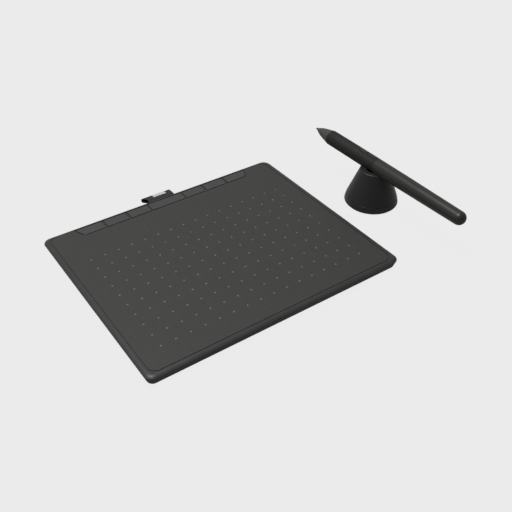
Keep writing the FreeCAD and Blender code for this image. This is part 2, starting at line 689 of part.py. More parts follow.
def rounded_key(plan, play=0.0, centre=0.0):
    """Corners of a key or its window with their roundings, larger beside the strip's own corners."""
    left_front, right_front, left_back, right_back = plan
    small = size("key_corner") + play
    large = size("strip_round") - (KEY_FRONT - STRIP_FRONT) + play
    rounds = [large if left_back.number < left_front.number else small,
              large if right_back.number > right_front.number else small, small, small]
    corners = key_outline(plan, play=play, centre=centre)
    return [corner + (rounding,) for corner, rounding in zip(corners, rounds)]


BLOCK_PLAN = (-size("block_width") / 2, size("block_width") / 2) * 2
KEY_PLANS = key_plans()


def film_plan(extra):
    """Plan of the film or of its recess, grown by a gap, as left, right, front, back, radius."""
    half = HALF_X - size("film_side_margin") + extra
    front = -HALF_Y + size("film_front_margin") - extra
    back = HALF_Y - size("film_back_margin") + extra
    return -half, half, front, back, size("film_corner") + extra


def border_path(body):
    """Line round the tablet at the seam, which the two covers' edges follow."""
    path = sketch_on(body, "BorderPath", offset=SEAM)
    corner = size("corner_round")
    outline(path, [(HALF_X, 0), (HALF_X, HALF_Y, corner), (-HALF_X, HALF_Y, corner),
                   (-HALF_X, -HALF_Y, corner), (HALF_X, -HALF_Y, corner)])
    return path


def sweep(body, profile, path, name):
    """Carries a profile round a closed path."""
    feature = body.newObject("PartDesign::AdditivePipe", name)
    feature.Profile = profile
    feature.Spine = path
    return finish_feature(body, feature, True)


def plan_box(body, name, height, inset):
    """A rounded rectangle inside the tablet's outline."""
    sketch = sketch_on(body, name, offset=height)
    box(sketch, inset - HALF_X, HALF_X - inset, inset - HALF_Y, HALF_Y - inset,
        size("corner_round") - inset)
    return sketch


def make_top_cover():
    """Top cover: a plate with a rounded border, a film recess and seven key windows."""
    body = start_body("top_cover")
    path = border_path(body)
    profile = sketch_on(body, "BorderProfile", "XZ_Plane")
    inner = HALF_X - size("shoulder_width") - size("border_flat")
    outline(profile, [
        (inner, SEAM), (HALF_X, SEAM), (HALF_X, SEAM + size("edge_land"), size("edge_round")),
        (HALF_X - size("shoulder_corner"), TOP, size("shoulder_round")), (inner, TOP)])
    sweep(body, profile, path, "Border")
    plate = plan_box(body, "PlateOutline", SEAM, size("shoulder_width") + LAP_INSET)
    pad(body, plate, TOP - SEAM, "Plate")
    nest = plan_box(body, "NestOutline", PLATE, size("wall_thickness") + size("nest_gap"))
    pad(body, nest, SEAM - PLATE, "Nest")

    bed = sketch_on(body, "FilmBedOutline", offset=TOP)
    box(bed, *film_plan(size("film_gap")))
    pocket(body, bed, size("film_thickness"), "FilmBed")
    strip = sketch_on(body, "StripOutline", offset=TOP)
    outline(strip, strip_corners(0.0))
    pocket(body, strip, size("strip_floor"), "Strip")
    windows = sketch_on(body, "WindowOutlines", offset=TOP)
    for plan in KEY_PLANS + [BLOCK_PLAN]:
        outline(windows, rounded_key(plan, play=size("key_play")))
    pocket(body, windows, size("plate_thickness"), "Windows")

    boss = sketch_on(body, "BossOutline", offset=PLATE)
    circle(boss, -size("boss_x"), -size("boss_front"), size("boss_radius"))
    boss_pad = pad(body, boss, size("boss_length"), "Boss", down=True)
    grid(body, boss_pad, "Bosses", *screw_grid())
    bore = sketch_on(body, "BossBoreOutline", offset=BOSS_SEAT)
    circle(bore, -size("boss_x"), -size("boss_front"), size("screw_radius") + size("thread_play"))
    bore_cut = pocket(body, bore, size("screw_reach") + size("bore_spare"), "BossBore",
                      along_normal=True)
    grid(body, bore_cut, "BossBores", *screw_grid(), grows=False)


def screw_grid():
    """The six screws' grid: three across and two from front to back."""
    return (3, size("boss_x") * 2), (2, size("boss_front") + size("boss_back"))


def strip_corners(inset):
    """Corners of the key strip, or of the film's notch round it, moved outwards by an inset."""
    front_half = STRIP_HALF_FRONT + inset
    back_half = STRIP_HALF_BACK + inset
    radius = size("strip_round")
    return [(-front_half, STRIP_FRONT - inset, radius), (front_half, STRIP_FRONT - inset, radius),
            (back_half, STRIP_BACK), (-back_half, STRIP_BACK)]


def make_drawing_film():
    """Drawing film: one thin sheet with a notch for the key strip."""
    body = start_body("drawing_film")
    left, right, front, back, corner = film_plan(as_size(0))
    notch = strip_corners(size("notch_gap"))
    notch_front = notch[0][1]
    plan = sketch_on(body, "FilmOutline", offset=FILM_FLOOR)
    outline(plan, [
        (left, front, corner), (right, front, corner), (right, back, corner),
        (notch[2][0], back, size("notch_round")), (notch[1][0], notch_front, size("strip_round")),
        (notch[0][0], notch_front, size("strip_round")), (notch[3][0], back, size("notch_round")),
        (left, back, corner)])
    pad(body, plan, size("film_thickness"), "Film")


def make_bottom_cover():
    """Bottom cover: a tray with leaning walls, ribs, screw posts, rests, pins and openings."""
    body = start_body("bottom_cover")
    path = border_path(body)
    profile = sketch_on(body, "WallProfile", "XZ_Plane")
    lean = product(size("wall_lean"), SEAM - BASE)
    floor_lean = product(size("wall_lean"), SEAM - FLOOR)
    wall = size("wall_thickness")
    floor_edge = HALF_X - lean - wall - size("border_flat")
    outline(profile, [
        (HALF_X - wall, SEAM), (HALF_X, SEAM), (HALF_X - lean, BASE, size("base_round")),
        (floor_edge, BASE), (floor_edge, FLOOR), (HALF_X - floor_lean - wall, FLOOR)])
    sweep(body, profile, path, "Wall")
    floor = plan_box(body, "FloorOutline", BASE, lean + wall + LAP_INSET)
    pad(body, floor, size("floor_thickness"), "Floor")
    add_ribs(body)
    add_posts(body)
    add_board_rests(body)
    add_clamp_pins(body)
    cut_foot_recesses(body)
    cut_screw_holes(body)
    cut_loop_slot(body)
    cut_socket_mouth(body)


def cut_loop_slot(body):
    """Slot in the back wall that the pen loop's tongue passes through."""
    slot = sketch_on(body, "LoopSlotOutline", "YZ_Plane", size("loop_x"))
    inside = HALF_Y - size("wall_thickness") * 3
    box(slot, inside, HALF_Y + size("loop_root"), FLOOR - size("root"),
        TONGUE_TOP + size("loop_play"))
    pocket(body, slot, size("loop_width") + size("loop_play") * 2, "LoopSlot", both_ways=True)


def cut_socket_mouth(body):
    """Flat oval opening in the right wall for the sunk socket."""
    inside = USB_MOUTH - size("wall_thickness") * 2
    mouth = sketch_on(body, "SocketMouthOutline", "YZ_Plane", inside)
    half = size("usb_width") / 2 + size("usb_play")
    rise = size("usb_height") / 2 + size("usb_play")
    box(mouth, size("usb_y") - half, size("usb_y") + half, USB_MIDDLE - rise, USB_MIDDLE + rise,
        rise * OVAL_ENDS)
    pocket(body, mouth, HALF_X - inside, "SocketMouth", along_normal=True)


def add_ribs(body):
    """Crossed ribs that carry the shield plate."""
    height = SHIELD_BOTTOM - FLOOR
    thickness = size("rib_thickness")
    half = SENSOR_HALF_X - size("rib_margin")
    front = SENSOR_FRONT + size("rib_margin")
    back = SHIELD_BACK - size("rib_margin")
    cross = sketch_on(body, "CrossRibOutline", offset=FLOOR)
    box(cross, -half, half, front, front + thickness)
    rib = pad(body, cross, height, "CrossRib")
    grid(body, rib, "CrossRibs", (1, 1.0), (RIB_ROWS, back - front - thickness))
    pitch = half * 2 / RIB_COLUMNS
    first = pitch / 2 - half
    along = sketch_on(body, "LongRibOutline", offset=FLOOR)
    box(along, first - thickness / 2, first + thickness / 2, front, back)
    rib = pad(body, along, height, "LongRib")
    grid(body, rib, "LongRibs", (RIB_COLUMNS, half * 2 - pitch), (1, 1.0))


def add_posts(body):
    """Posts under the top cover's screw bosses."""
    post = sketch_on(body, "PostOutline", offset=FLOOR - size("root"))
    circle(post, -size("boss_x"), -size("boss_front"), size("boss_radius") + size("post_step"))
    first = pad(body, post, BOSS_SEAT - FLOOR + size("root"), "Post")
    grid(body, first, "Posts", *screw_grid())


def rest_grid():
    """The main board's four rests: two across and two from front to back."""
    return (2, size("rest_x") * 2), (2, size("board_depth") - size("rest_margin") * 2)


def add_board_rests(body):
    """Four rests with pins, which carry and centre the main board."""
    front = BOARD_FRONT + size("rest_margin")
    rest = sketch_on(body, "RestOutline", offset=FLOOR - size("root"))
    circle(rest, -size("rest_x"), front, size("rest_radius"))
    first = pad(body, rest, size("board_rest") + size("root"), "Rest")
    grid(body, first, "Rests", *rest_grid())
    pin = sketch_on(body, "RestPinOutline", offset=BOARD_BOTTOM)
    circle(pin, -size("rest_x"), front, size("rest_pin"))
    first = pad(body, pin, size("board_thickness") + size("pin_proud"), "RestPin")
    grid(body, first, "RestPins", *rest_grid())


def add_clamp_pins(body):
    """Two pins that pass through the loop's tongue and its clamp bar."""
    pin = sketch_on(body, "ClampPinOutlines", offset=FLOOR - size("root"))
    for side in (-1, 1):
        circle(pin, size("loop_x") + size("clamp_pin_x") * side, CLAMP_Y, size("clamp_pin"))
    pad(body, pin, CLAMP_TOP - FLOOR + size("root") + size("pin_proud"), "ClampPins")


def cut_foot_recesses(body):
    """Four recesses for the rubber feet."""
    recess = sketch_on(body, "FootRecessOutline", offset=BASE)
    play = size("foot_play")
    half_length = size("foot_length") / 2 + play
    half_depth = size("foot_depth") / 2 + play
    box(recess, -size("foot_x") - half_length, half_length - size("foot_x"),
        -size("foot_y") - half_depth, half_depth - size("foot_y"), size("foot_round") + play)
    cut = pocket(body, recess, size("foot_recess"), "FootRecess", along_normal=True)
    grid(body, cut, "FootRecesses", (2, size("foot_x") * 2), (2, size("foot_y") * 2), grows=False)


def cut_screw_holes(body):
    """Counterbored holes for the case screws."""
    head = sketch_on(body, "HeadOutline", offset=BASE)
    circle(head, -size("boss_x"), -size("boss_front"), size("head_radius") + size("head_play"))
    cut = pocket(body, head, BOSS_SEAT - BASE - size("head_seat"), "HeadBore",
                 along_normal=True)
    grid(body, cut, "HeadBores", *screw_grid(), grows=False)
    shank = sketch_on(body, "ShankOutline", offset=BASE)
    circle(shank, -size("boss_x"), -size("boss_front"), size("screw_radius") + size("shank_play"))
    cut = pocket(body, shank, BOSS_SEAT - BASE, "ShankBore", along_normal=True)
    grid(body, cut, "ShankBores", *screw_grid(), grows=False)


def make_case_screws():
    """Six pan-head screws from below, as one group."""
    body = start_body("case_screws", -size("boss_x"), -size("boss_front"))
    seat = BOSS_SEAT - size("head_seat")
    head = seat - size("head_height")
    drive = head + size("drive_depth")
    tip = BOSS_SEAT + size("screw_reach")
    screw = turned(body, [
        (0, drive), (size("drive_radius"), drive), (size("drive_radius"), head),
        (size("head_radius"), head, size("head_round")), (size("head_radius"), seat),
        (size("screw_radius"), seat), (size("screw_radius"), tip, size("screw_tip")), (0, tip)])
    grid(body, screw, "Screws", *screw_grid())


def make_feet():
    """Four rubber feet in their recesses."""
    half_length = size("foot_length") / 2
    half_depth = size("foot_depth") / 2
    for front_or_back, row in (("front", -1), ("back", 1)):
        for left_or_right, column in (("left", -1), ("right", 1)):
            body = start_body(f"foot_{front_or_back}_{left_or_right}",
                              size("foot_x") * column, size("foot_y") * row)
            plan = sketch_on(body, "FootOutline")
            box(plan, -half_length, half_length, -half_depth, half_depth, size("foot_round"))
            pad(body, plan, size("foot_proud") + size("foot_recess"), "Foot")
            round_edges(body, size("foot_edge"), "FootRounding",
                        lambda edge: lies_at(edge, as_size(0)))


def add_cap(body, plan, centre, lip_top):
    """Cap of a key or of the block, with its rounded top and its lips."""
    lip = sketch_on(body, "LipOutline", offset=lip_top - size("lip_thickness"))
    outline(lip, [(x, y - KEY_MIDDLE) for x, y in
                  key_outline(plan, lip=size("key_lip"), centre=centre)])
    pad(body, lip, size("lip_thickness"), "Lip")
    cap = sketch_on(body, "CapOutline", offset=lip_top - size("lip_thickness") / 2)
    outline(cap, [(x, y - KEY_MIDDLE, rounding) for x, y, rounding in
                  rounded_key(plan, centre=centre)])
    top = TOP - size("key_drop")
    pad(body, cap, top - lip_top + size("lip_thickness") / 2, "Cap")
    round_edges(body, size("key_edge"), "CapRounding", lambda edge: lies_at(edge, top))


def make_keys():
    """Six keys: a cap, the lips that hold it in its window, and the post over its switch."""
    lip_top = PLATE - size("stop_gap")
    for number, plan in enumerate(KEY_PLANS, start=1):
        centre = (plan[0] + plan[1]) / 2
        body = start_body(f"key_{number}", centre, KEY_MIDDLE)
        add_cap(body, plan, centre, lip_top)
        bottom = SWITCH_TOP + size("key_travel") + size("stop_gap")
        post = sketch_on(body, "PostOutline", offset=bottom)
        circle(post, 0, 0, size("post_radius"))
        pad(body, post, lip_top - size("lip_thickness") / 2 - bottom, "Post")


def make_centre_block():
    """Fixed block between the keys, bonded under the plate by its lips."""
    body = start_body("centre_block", 0, KEY_MIDDLE)
    add_cap(body, BLOCK_PLAN, as_size(0), PLATE)


def make_key_switches():
    """Six low tactile switches under the keys' posts, as one group."""
    body = start_body("key_switches")
    plan = sketch_on(body, "SwitchOutlines", offset=BOARD_TOP)
    half = size("switch_side") / 2
    for key in KEY_PLANS:
        centre = (key[0] + key[1]) / 2
        box(plan, centre - half, centre + half, KEY_MIDDLE - half, KEY_MIDDLE + half,
            size("switch_corner"))
    pad(body, plan, size("switch_height"), "Switches")


def make_sensor():
    """Sensor board under the film and the steel shield under that."""
    board = start_body("sensor_board")
    plan = sketch_on(board, "SensorOutline", offset=SENSOR_BOTTOM)
    box(plan, -SENSOR_HALF_X, SENSOR_HALF_X, SENSOR_FRONT, SENSOR_BACK, size("sensor_corner"))
    pad(board, plan, size("sensor_thickness"), "Board")
    shield = start_body("shield_plate")
    plan = sketch_on(shield, "ShieldOutline", offset=SHIELD_BOTTOM)
    box(plan, -SENSOR_HALF_X, SENSOR_HALF_X, SENSOR_FRONT, SHIELD_BACK, size("sensor_corner"))
    pad(shield, plan, size("shield_thickness"), "Plate")


def make_main_board():
    """Main board, notched for the pen loop's tongue and for the sunk socket."""
    body = start_body("main_board")
    plan = sketch_on(body, "BoardOutline", offset=BOARD_BOTTOM)
    left = -size("board_left")
    corner = size("board_corner")
    notch_left = size("loop_x") - size("loop_width") / 2 - size("board_notch")
    notch_right = size("loop_x") + size("loop_width") / 2 + size("board_notch")
    notch_y = HALF_Y - size("tongue") - size("board_notch_gap")
    usb_half = size("usb_width") / 2 + size("usb_board_play")
    usb_front = size("usb_y") - usb_half
    usb_behind = size("usb_y") + usb_half
    usb_back = USB_MOUTH - size("usb_length") - size("usb_board_play")
    outline(plan, [
        (left, BOARD_FRONT, corner), (BOARD_RIGHT, BOARD_FRONT, corner),
        (BOARD_RIGHT, usb_front), (usb_back, usb_front), (usb_back, usb_behind),
        (BOARD_RIGHT, usb_behind), (BOARD_RIGHT, BOARD_BACK, corner),
        (notch_right, BOARD_BACK, corner), (notch_right, notch_y, corner),
        (notch_left, notch_y, corner), (notch_left, BOARD_BACK, corner),
        (left, BOARD_BACK, corner)])
    pad(body, plan, size("board_thickness"), "Board")
    hole = sketch_on(body, "HoleOutline", offset=BOARD_TOP)
    circle(hole, -size("rest_x"), BOARD_FRONT + size("rest_margin"),
           size("rest_pin") + size("rest_play"))
    cut = pocket(body, hole, size("board_thickness"), "Hole")
    grid(body, cut, "Holes", *rest_grid(), grows=False)


def make_board_chips():
    """Controller, memory, regulator and crystal on the main board, as one group."""
    body = start_body("board_chips")
    plan = sketch_on(body, "ChipOutlines", offset=BOARD_TOP)
    middle = BOARD_FRONT + size("chip_row")
    for x, width, depth in CHIPS:
        box(plan, x - width / 2, x + width / 2, middle - depth / 2, middle + depth / 2)
    pad(body, plan, size("chip_height"), "Chips")


def make_flex():
    """Flat flex from the sensor board down to its connector on the main board."""
    thickness = size("flex_thickness")
    play = size("flex_play")
    half = size("flex_width") / 2
    slot_low = BOARD_TOP + size("connector_slot")
    front = BOARD_FRONT + size("connector_front")
    seated = front + size("connector_depth") - size("flex_seat")
    connector = start_body("flex_connector", FLEX_X)
    plan = sketch_on(connector, "ConnectorOutline", offset=BOARD_TOP)
    side = half + size("connector_side")
    box(plan, -side, side, front, front + size("connector_depth"))
    pad(connector, plan, size("connector_height"), "Housing")
    slot = sketch_on(connector, "SlotOutline", "YZ_Plane")
    box(slot, front - play, seated + play, slot_low, slot_low + thickness + play * 2)
    pocket(connector, slot, size("flex_width") + play * 4, "Slot", both_ways=True)

    flex = start_body("flat_flex", FLEX_X)
    profile = sketch_on(flex, "FlexProfile", "YZ_Plane")
    low = slot_low + play
    high = SENSOR_BOTTOM - thickness
    start = SENSOR_BACK - size("flex_lap")
    rise_top = SENSOR_BACK + size("flex_rise")
    rise_foot = BOARD_FRONT - size("flex_landing")
    bend = size("flex_bend")
    outline(profile, [
        (seated, low), (rise_foot, low, bend + thickness), (rise_top, high, bend), (start, high),
        (start, SENSOR_BOTTOM), (rise_top, SENSOR_BOTTOM, bend + thickness),
        (rise_foot, low + thickness, bend), (seated, low + thickness)])
    pad(flex, profile, size("flex_width"), "Flex", both_ways=True)


def make_usb_socket():
    """Sunk socket: a flat oval metal shell with the contact tongue inside."""
    body = start_body("usb_socket", USB_MOUTH, size("usb_y"), USB_MIDDLE)
    half_y = size("usb_width") / 2
    half_z = size("usb_height") / 2
    skin = size("usb_skin")
    shell = sketch_on(body, "ShellOutline", "YZ_Plane")
    box(shell, -half_y, half_y, -half_z, half_z, half_z * OVAL_ENDS)
    pad(body, shell, size("usb_length"), "Shell", down=True)
    bore = sketch_on(body, "BoreOutline", "YZ_Plane")
    box(bore, skin - half_y, half_y - skin, skin - half_z, half_z - skin,
        (half_z - skin) * OVAL_ENDS)
    deep = size("usb_length") - size("usb_back")
    pocket(body, bore, deep, "Bore")
    tongue = sketch_on(body, "TongueOutline", "YZ_Plane", -deep - size("root"))
    half_tongue = size("usb_tongue_width") / 2
    half_thick = size("usb_tongue") / 2
    box(tongue, -half_tongue, half_tongue, -half_thick, half_thick)
    pad(body, tongue, deep + size("root") - size("usb_tongue_short"), "Tongue")


def make_pen_loop():
    """Pen loop: one strip of webbing, folded back on itself and held by its tongue."""
    body = start_body("pen_loop", size("loop_x"), HALF_Y)
    profile = sketch_on(body, "LoopProfile", "YZ_Plane")
    reach = size("loop_reach")
    high = size("loop_top")
    fold_high = high - size("loop_sag")
    low = size("loop_bottom")
    web = size("webbing")
    tongue = size("tongue")
    root = size("loop_root")
    part = size("loop_part")
    fold = size("loop_fold")
    bend = size("loop_bend")
    outline(profile, [
        (-tongue, TONGUE_TOP), (root, TONGUE_TOP, bend), (part, high, bend),
        (reach, fold_high, fold), (reach, low, fold), (part, low, bend), (root, FLOOR, bend),
        (-tongue, FLOOR)])
    outline(profile, [
        (root + web, FLOOR + web), (part + web / 2, high - web, bend - web),
        (reach - web, fold_high - web, fold - web), (reach - web, low + web, fold - web),
        (part + web / 2, low + web, bend - web)])
    pad(body, profile, size("loop_width"), "Webbing", both_ways=True)
    holes = sketch_on(body, "EyeletOutlines", offset=TONGUE_TOP)
    for side in (-1, 1):
        circle(holes, size("clamp_pin_x") * side, CLAMP_Y - HALF_Y,
               size("clamp_pin") + size("pin_play"))
    pocket(body, holes, web * 2, "Eyelets")


def make_loop_clamp():
    """Bar that clamps the loop's tongue over its two pins."""
    body = start_body("loop_clamp", size("loop_x"), CLAMP_Y)
    plan = sketch_on(body, "BarOutline", offset=TONGUE_TOP)
    half = size("loop_width") / 2 + size("clamp_side")
    deep = size("clamp_depth") / 2
    box(plan, -half, half, -deep, deep, size("clamp_corner"))
    for side in (-1, 1):
        circle(plan, size("clamp_pin_x") * side, 0, size("clamp_pin") + size("pin_play"))
    pad(body, plan, size("clamp_thickness"), "Bar")


def nib_profile():
    """Profile of a nib from its tip: distance, radius, rounding."""
    radius = size("nib_radius")
    return [(0, 0), (0, radius, radius * NIB_ROUNDING), (size("nib_length"), radius),
            (size("nib_length"), 0)]


def make_nib():
    """Nib and the holder that carries it, with the holder's rod through the ferrite core."""
    turned_pen(pen_body("nib"), nib_profile())
    bore = size("nib_radius") + size("grip_fit")
    end = size("nib_length")
    start = size("holder_start")
    outer = size("holder_radius")
    rod = size("holder_rod")
    flange = size("holder_flange")
    step = end + size("flange_thickness")
    turned_pen(pen_body("nib_holder"), [
        (start, bore), (start, outer), (step, outer), (step, rod), (FLANGE_START, rod),
        (FLANGE_START, flange, size("coil_edge")), (FLANGE_END, flange, size("coil_edge")),
        (FLANGE_END, 0), (end, 0), (end, bore)])


def make_nose_cone():
    """Nose cone with the nib's guide bore and the spigot that enters the tube."""
    start = size("nib_proud")
    end = size("nose_end")
    guide = size("nib_radius") + size("nib_guide_play")
    spigot = TUBE_BORE - size("tube_play")
    inside = spigot - size("nose_spigot_wall")
    spigot_end = end + size("nose_spigot")
    room = size("holder_radius") + size("nib_guide_play") * 2
    bend = size("nose_bend")
    turned_pen(pen_body("nose_cone"), [
        (start, guide), (start, size("nose_front"), size("coil_edge")),
        (size("nose_first"), size("nose_first_radius"), bend),
        (size("nose_second"), size("nose_second_radius"), bend),
        (end, size("nose_radius"), size("nib_guide_play")), (end, spigot), (spigot_end, spigot),
        (spigot_end, inside), (end - size("nose_spigot_wall"), inside),
        (size("holder_start") - size("holder_gap"), room), (size("holder_start") / 2, guide)])


def cut_button_slots(body):
    """Cuts the two openings that the side buttons stand in, with a bridge between them."""
    play = size("button_play")
    half_width = size("button_width") / 2 + play
    half_length = size("button_length") / 2 + play
    openings = sketch_on(body, "ButtonOpenings")
    for middle in BUTTON_MIDDLES:
        box(openings, -half_width, half_width, -middle - half_length, half_length - middle,
            size("button_corner") + play)
    pocket(body, openings, size("grip_radius") + CUT_OVER, "ButtonSlots", along_normal=True)


def make_tube_and_grip():
    """Hard tube and the soft sleeve over it, both with the openings for the side buttons."""
    start = size("nose_end") + size("piece_gap")
    tube = pen_body("front_tube")
    turned_pen(tube, [
        (start, TUBE_BORE), (start, TUBE_RADIUS), (size("joint_end"), TUBE_RADIUS),
        (size("joint_end"), TUBE_BORE)])
    cut_button_slots(tube)
    sleeve = pen_body("grip_sleeve")
    bore = TUBE_RADIUS + size("grip_fit")
    end = size("grip_end")
    turned_pen(sleeve, [
        (start, bore), (start, size("grip_radius"), size("grip_edge")),
        (size("grip_middle"), size("grip_radius")), (end, size("barrel_radius"), size("piece_gap")),
        (end, bore)])
    cut_button_slots(sleeve)


def make_rear_barrel():
    """Rear barrel: a tapering tube with a round closed end."""
    start = size("grip_end") + size("piece_gap")
    end = size("pen_length")
    socket = TUBE_RADIUS + size("grip_fit")
    step = size("joint_end") + size("piece_gap")
    bend = size("barrel_bend")
    middle = size("barrel_middle")
    rear = size("barrel_rear")
    closed = end - size("barrel_cap")
    turned_pen(pen_body("rear_barrel"), [
        (start, socket), (start, size("barrel_radius"), size("piece_gap")),
        (middle, size("barrel_middle_radius"), bend), (rear, size("barrel_rear_radius"), bend),
        (end, size("end_radius"), size("end_round")), (end, 0), (closed, 0),
        (closed, size("barrel_rear_radius") - size("barrel_wall"), size("barrel_cap")),
        (middle, size("barrel_middle_radius") - size("barrel_wall")), (step, TUBE_BORE),
        (step, socket)])


def make_side_buttons():
    """Two side buttons, curved like the pen, with a lip under the tube and a short stem."""
    half_x = size("button_width") / 2
    half_y = size("button_length") / 2
    lip_top = size("button_lip_top")
    lip_bottom = lip_top - size("button_lip_thickness")
    lip_x = half_x + size("button_lip")
    lip_y = half_y + size("button_lip_end")
    outside = size("grip_radius") + size("button_proud")
    stem_end = PEN_SWITCH_TOP + size("button_travel") + size("stop_gap")
    for name, middle in zip(("side_button_front", "side_button_rear"), BUTTON_MIDDLES):
        body = pen_body(name, middle)
        lip = sketch_on(body, "LipOutline", offset=lip_bottom)
        box(lip, -lip_x, lip_x, -lip_y, lip_y, size("button_lip"))
        pad(body, lip, lip_top - lip_bottom, "Lip")
        cap = sketch_on(body, "CapOutline", offset=lip_bottom)
        box(cap, -half_x, half_x, -half_y, half_y, size("button_corner"))
        pad(body, cap, outside, "Cap")
        crown = sketch_on(body, "CrownOutline", "XZ_Plane")
        circle(crown, 0, 0, outside)
        circle(crown, 0, 0, outside * 2)
        pocket(body, crown, size("button_length") * 2, "Crown", both_ways=True)
        round_edges(body, size("button_edge"), "CrownRounding",
                    lambda edge: edge.BoundBox.ZMin > outside.number - size("button_lip").number)
        stem = sketch_on(body, "StemOutline", offset=stem_end)
        circle(stem, 0, 0, size("button_stem"))
        pad(body, stem, lip_top - stem_end, "Stem")


def make_pen_core():
    """Inside of the pen: frame, ferrite core, coil, pressure sensor, board and its switches."""
    add_pen_frame()
    ferrite = size("ferrite_radius")
    turned_pen(pen_body("ferrite_core"), [
        (FERRITE_START, size("ferrite_bore")), (FERRITE_START, ferrite), (FERRITE_END, ferrite),
        (FERRITE_END, size("ferrite_bore"))])
    coil_start = FRAME_START + size("frame_front") + size("coil_gap")
    coil_end = FERRITE_END - size("frame_web") - size("coil_gap")
    coil_bore = ferrite + size("tube_play")
    turned_pen(pen_body("pickup_coil"), [
        (coil_start, coil_bore), (coil_start, size("coil_radius"), size("coil_edge")),
        (coil_end, size("coil_radius"), size("coil_edge")), (coil_end, coil_bore)])
    case_start = SENSOR_BUTTON + size("sensor_button_length")
    case_radius = FRAME_INNER - size("tube_play")
    turned_pen(pen_body("pressure_sensor"), [
        (SENSOR_BUTTON, 0), (SENSOR_BUTTON, size("sensor_button")),
        (case_start, size("sensor_button")), (case_start, case_radius, size("coil_edge")),
        (SENSOR_END, case_radius), (SENSOR_END, 0)])

    board = pen_body("pen_board")
    plan = sketch_on(board, "BoardOutline", offset=PEN_BOARD_BOTTOM)
    half = FRAME_OUTER - size("pen_board_side")
    box(plan, -half, half, size("pen_board_short") - FRAME_END,
        -SENSOR_END - size("pen_board_gap"), size("pen_board_corner"))
    pad(board, plan, PEN_BOARD_TOP - PEN_BOARD_BOTTOM, "Board")
    switches = pen_body("pen_switches")
    plan = sketch_on(switches, "SwitchOutlines", offset=PEN_BOARD_TOP)
    half_x = size("pen_switch_width") / 2
    half_y = size("pen_switch_length") / 2
    for middle in BUTTON_MIDDLES:
        box(plan, -half_x, half_x, -middle - half_y, half_y - middle, size("pen_switch_corner"))
    pad(switches, plan, PEN_SWITCH_TOP - PEN_BOARD_TOP, "Switches")


def add_pen_frame():
    """Trough in the tube with two walls that carry the ferrite core."""
    body = pen_body("pen_frame")
    hole = size("ferrite_radius") + size("tube_play")
    front_wall = FRAME_START + size("frame_front")
    web = FERRITE_END - size("frame_web")
    turned_pen(body, [
        (FRAME_START, hole), (FRAME_START, FRAME_OUTER), (FRAME_END, FRAME_OUTER),
        (FRAME_END, FRAME_INNER), (FERRITE_END, FRAME_INNER), (FERRITE_END, hole), (web, hole),
        (web, FRAME_INNER), (front_wall, FRAME_INNER), (front_wall, hole)])
    top = sketch_on(body, "OpenTopOutline", offset=PEN_BOARD_BOTTOM)
    box(top, -FRAME_OUTER - CUT_OVER, FRAME_OUTER + CUT_OVER, -FRAME_END - CUT_OVER,
        CUT_OVER - FRAME_START)
    pocket(body, top, FRAME_OUTER * 2, "OpenTop", along_normal=True)


def make_stand_shell():
    """Conical shell with the upright pen hole in its middle and the rest groove across its top."""
    body = stand_body("stand_shell")
    rim = size("stand_rim")
    foot = size("stand_foot")
    height = size("stand_height")
    wall = size("stand_wall")
    bore = size("spigot_radius") + size("spigot_play")
    narrowing = ratio(foot - rim, height - SHELL_BOTTOM)
    bore_top = SHELL_BOTTOM + ratio(foot - wall - bore, narrowing)
    web_bottom = height - size("web_depth")
    web_radius = rim - wall + product(narrowing, size("web_depth"))
    hole = size("pen_hole")
    tube = hole + size("pen_hole_wall")
    floor = size("pen_hole_floor")
    tube_bottom = floor - size("pen_hole_wall")
    inner_round = size("inner_round")
    turned(body, [
        (bore, SHELL_BOTTOM), (foot, SHELL_BOTTOM, size("seam_round")),
        (rim, height, size("rim_round")), (hole, height, size("hole_round")),
        (hole, floor, size("pen_hole_round")), (0, floor), (0, tube_bottom), (tube, tube_bottom),
        (tube, web_bottom, inner_round), (web_radius, web_bottom, inner_round),
        (bore, bore_top)])
    groove = sketch_on(body, "GrooveOutline", "XZ_Plane")
    circle(groove, 0, PEN_AXIS, size("barrel_radius") + size("groove_gap"))
    pocket(body, groove, rim * 3, "Groove", both_ways=True)


def make_stand_base():
    """Base that turns in the shell, with the steel weight and the rubber pad."""
    low = size("base_lift")
    radius = size("base_radius")
    bevel = size("base_bevel")
    shoulder = size("base_height")
    spigot = size("spigot_radius")
    spigot_top = shoulder + size("spigot_height")
    seat = low + size("pad_recess")
    pad_radius = spigot + size("pad_rim")
    inner = size("weight_radius") + size("weight_play")
    turned(stand_body("stand_base"), [
        (0, seat), (pad_radius, seat), (pad_radius, low), (radius - bevel, low),
        (radius, low + bevel, size("base_edge")), (size("stand_foot"), shoulder, size("seam_round")),
        (spigot, shoulder), (spigot, spigot_top, size("spigot_round")), (inner, spigot_top),
        (inner, WEIGHT_SEAT), (0, WEIGHT_SEAT)])
    pad_edge = pad_radius - size("pad_play")
    turned(stand_body("stand_pad"), [
        (0, 0), (pad_edge, 0, size("seam_round")), (pad_edge, seat), (0, seat)])
    weight = size("weight_radius")
    turned(stand_body("stand_weight"), [
        (0, WEIGHT_SEAT), (weight, WEIGHT_SEAT), (weight, RACK_SEAT), (0, RACK_SEAT)])


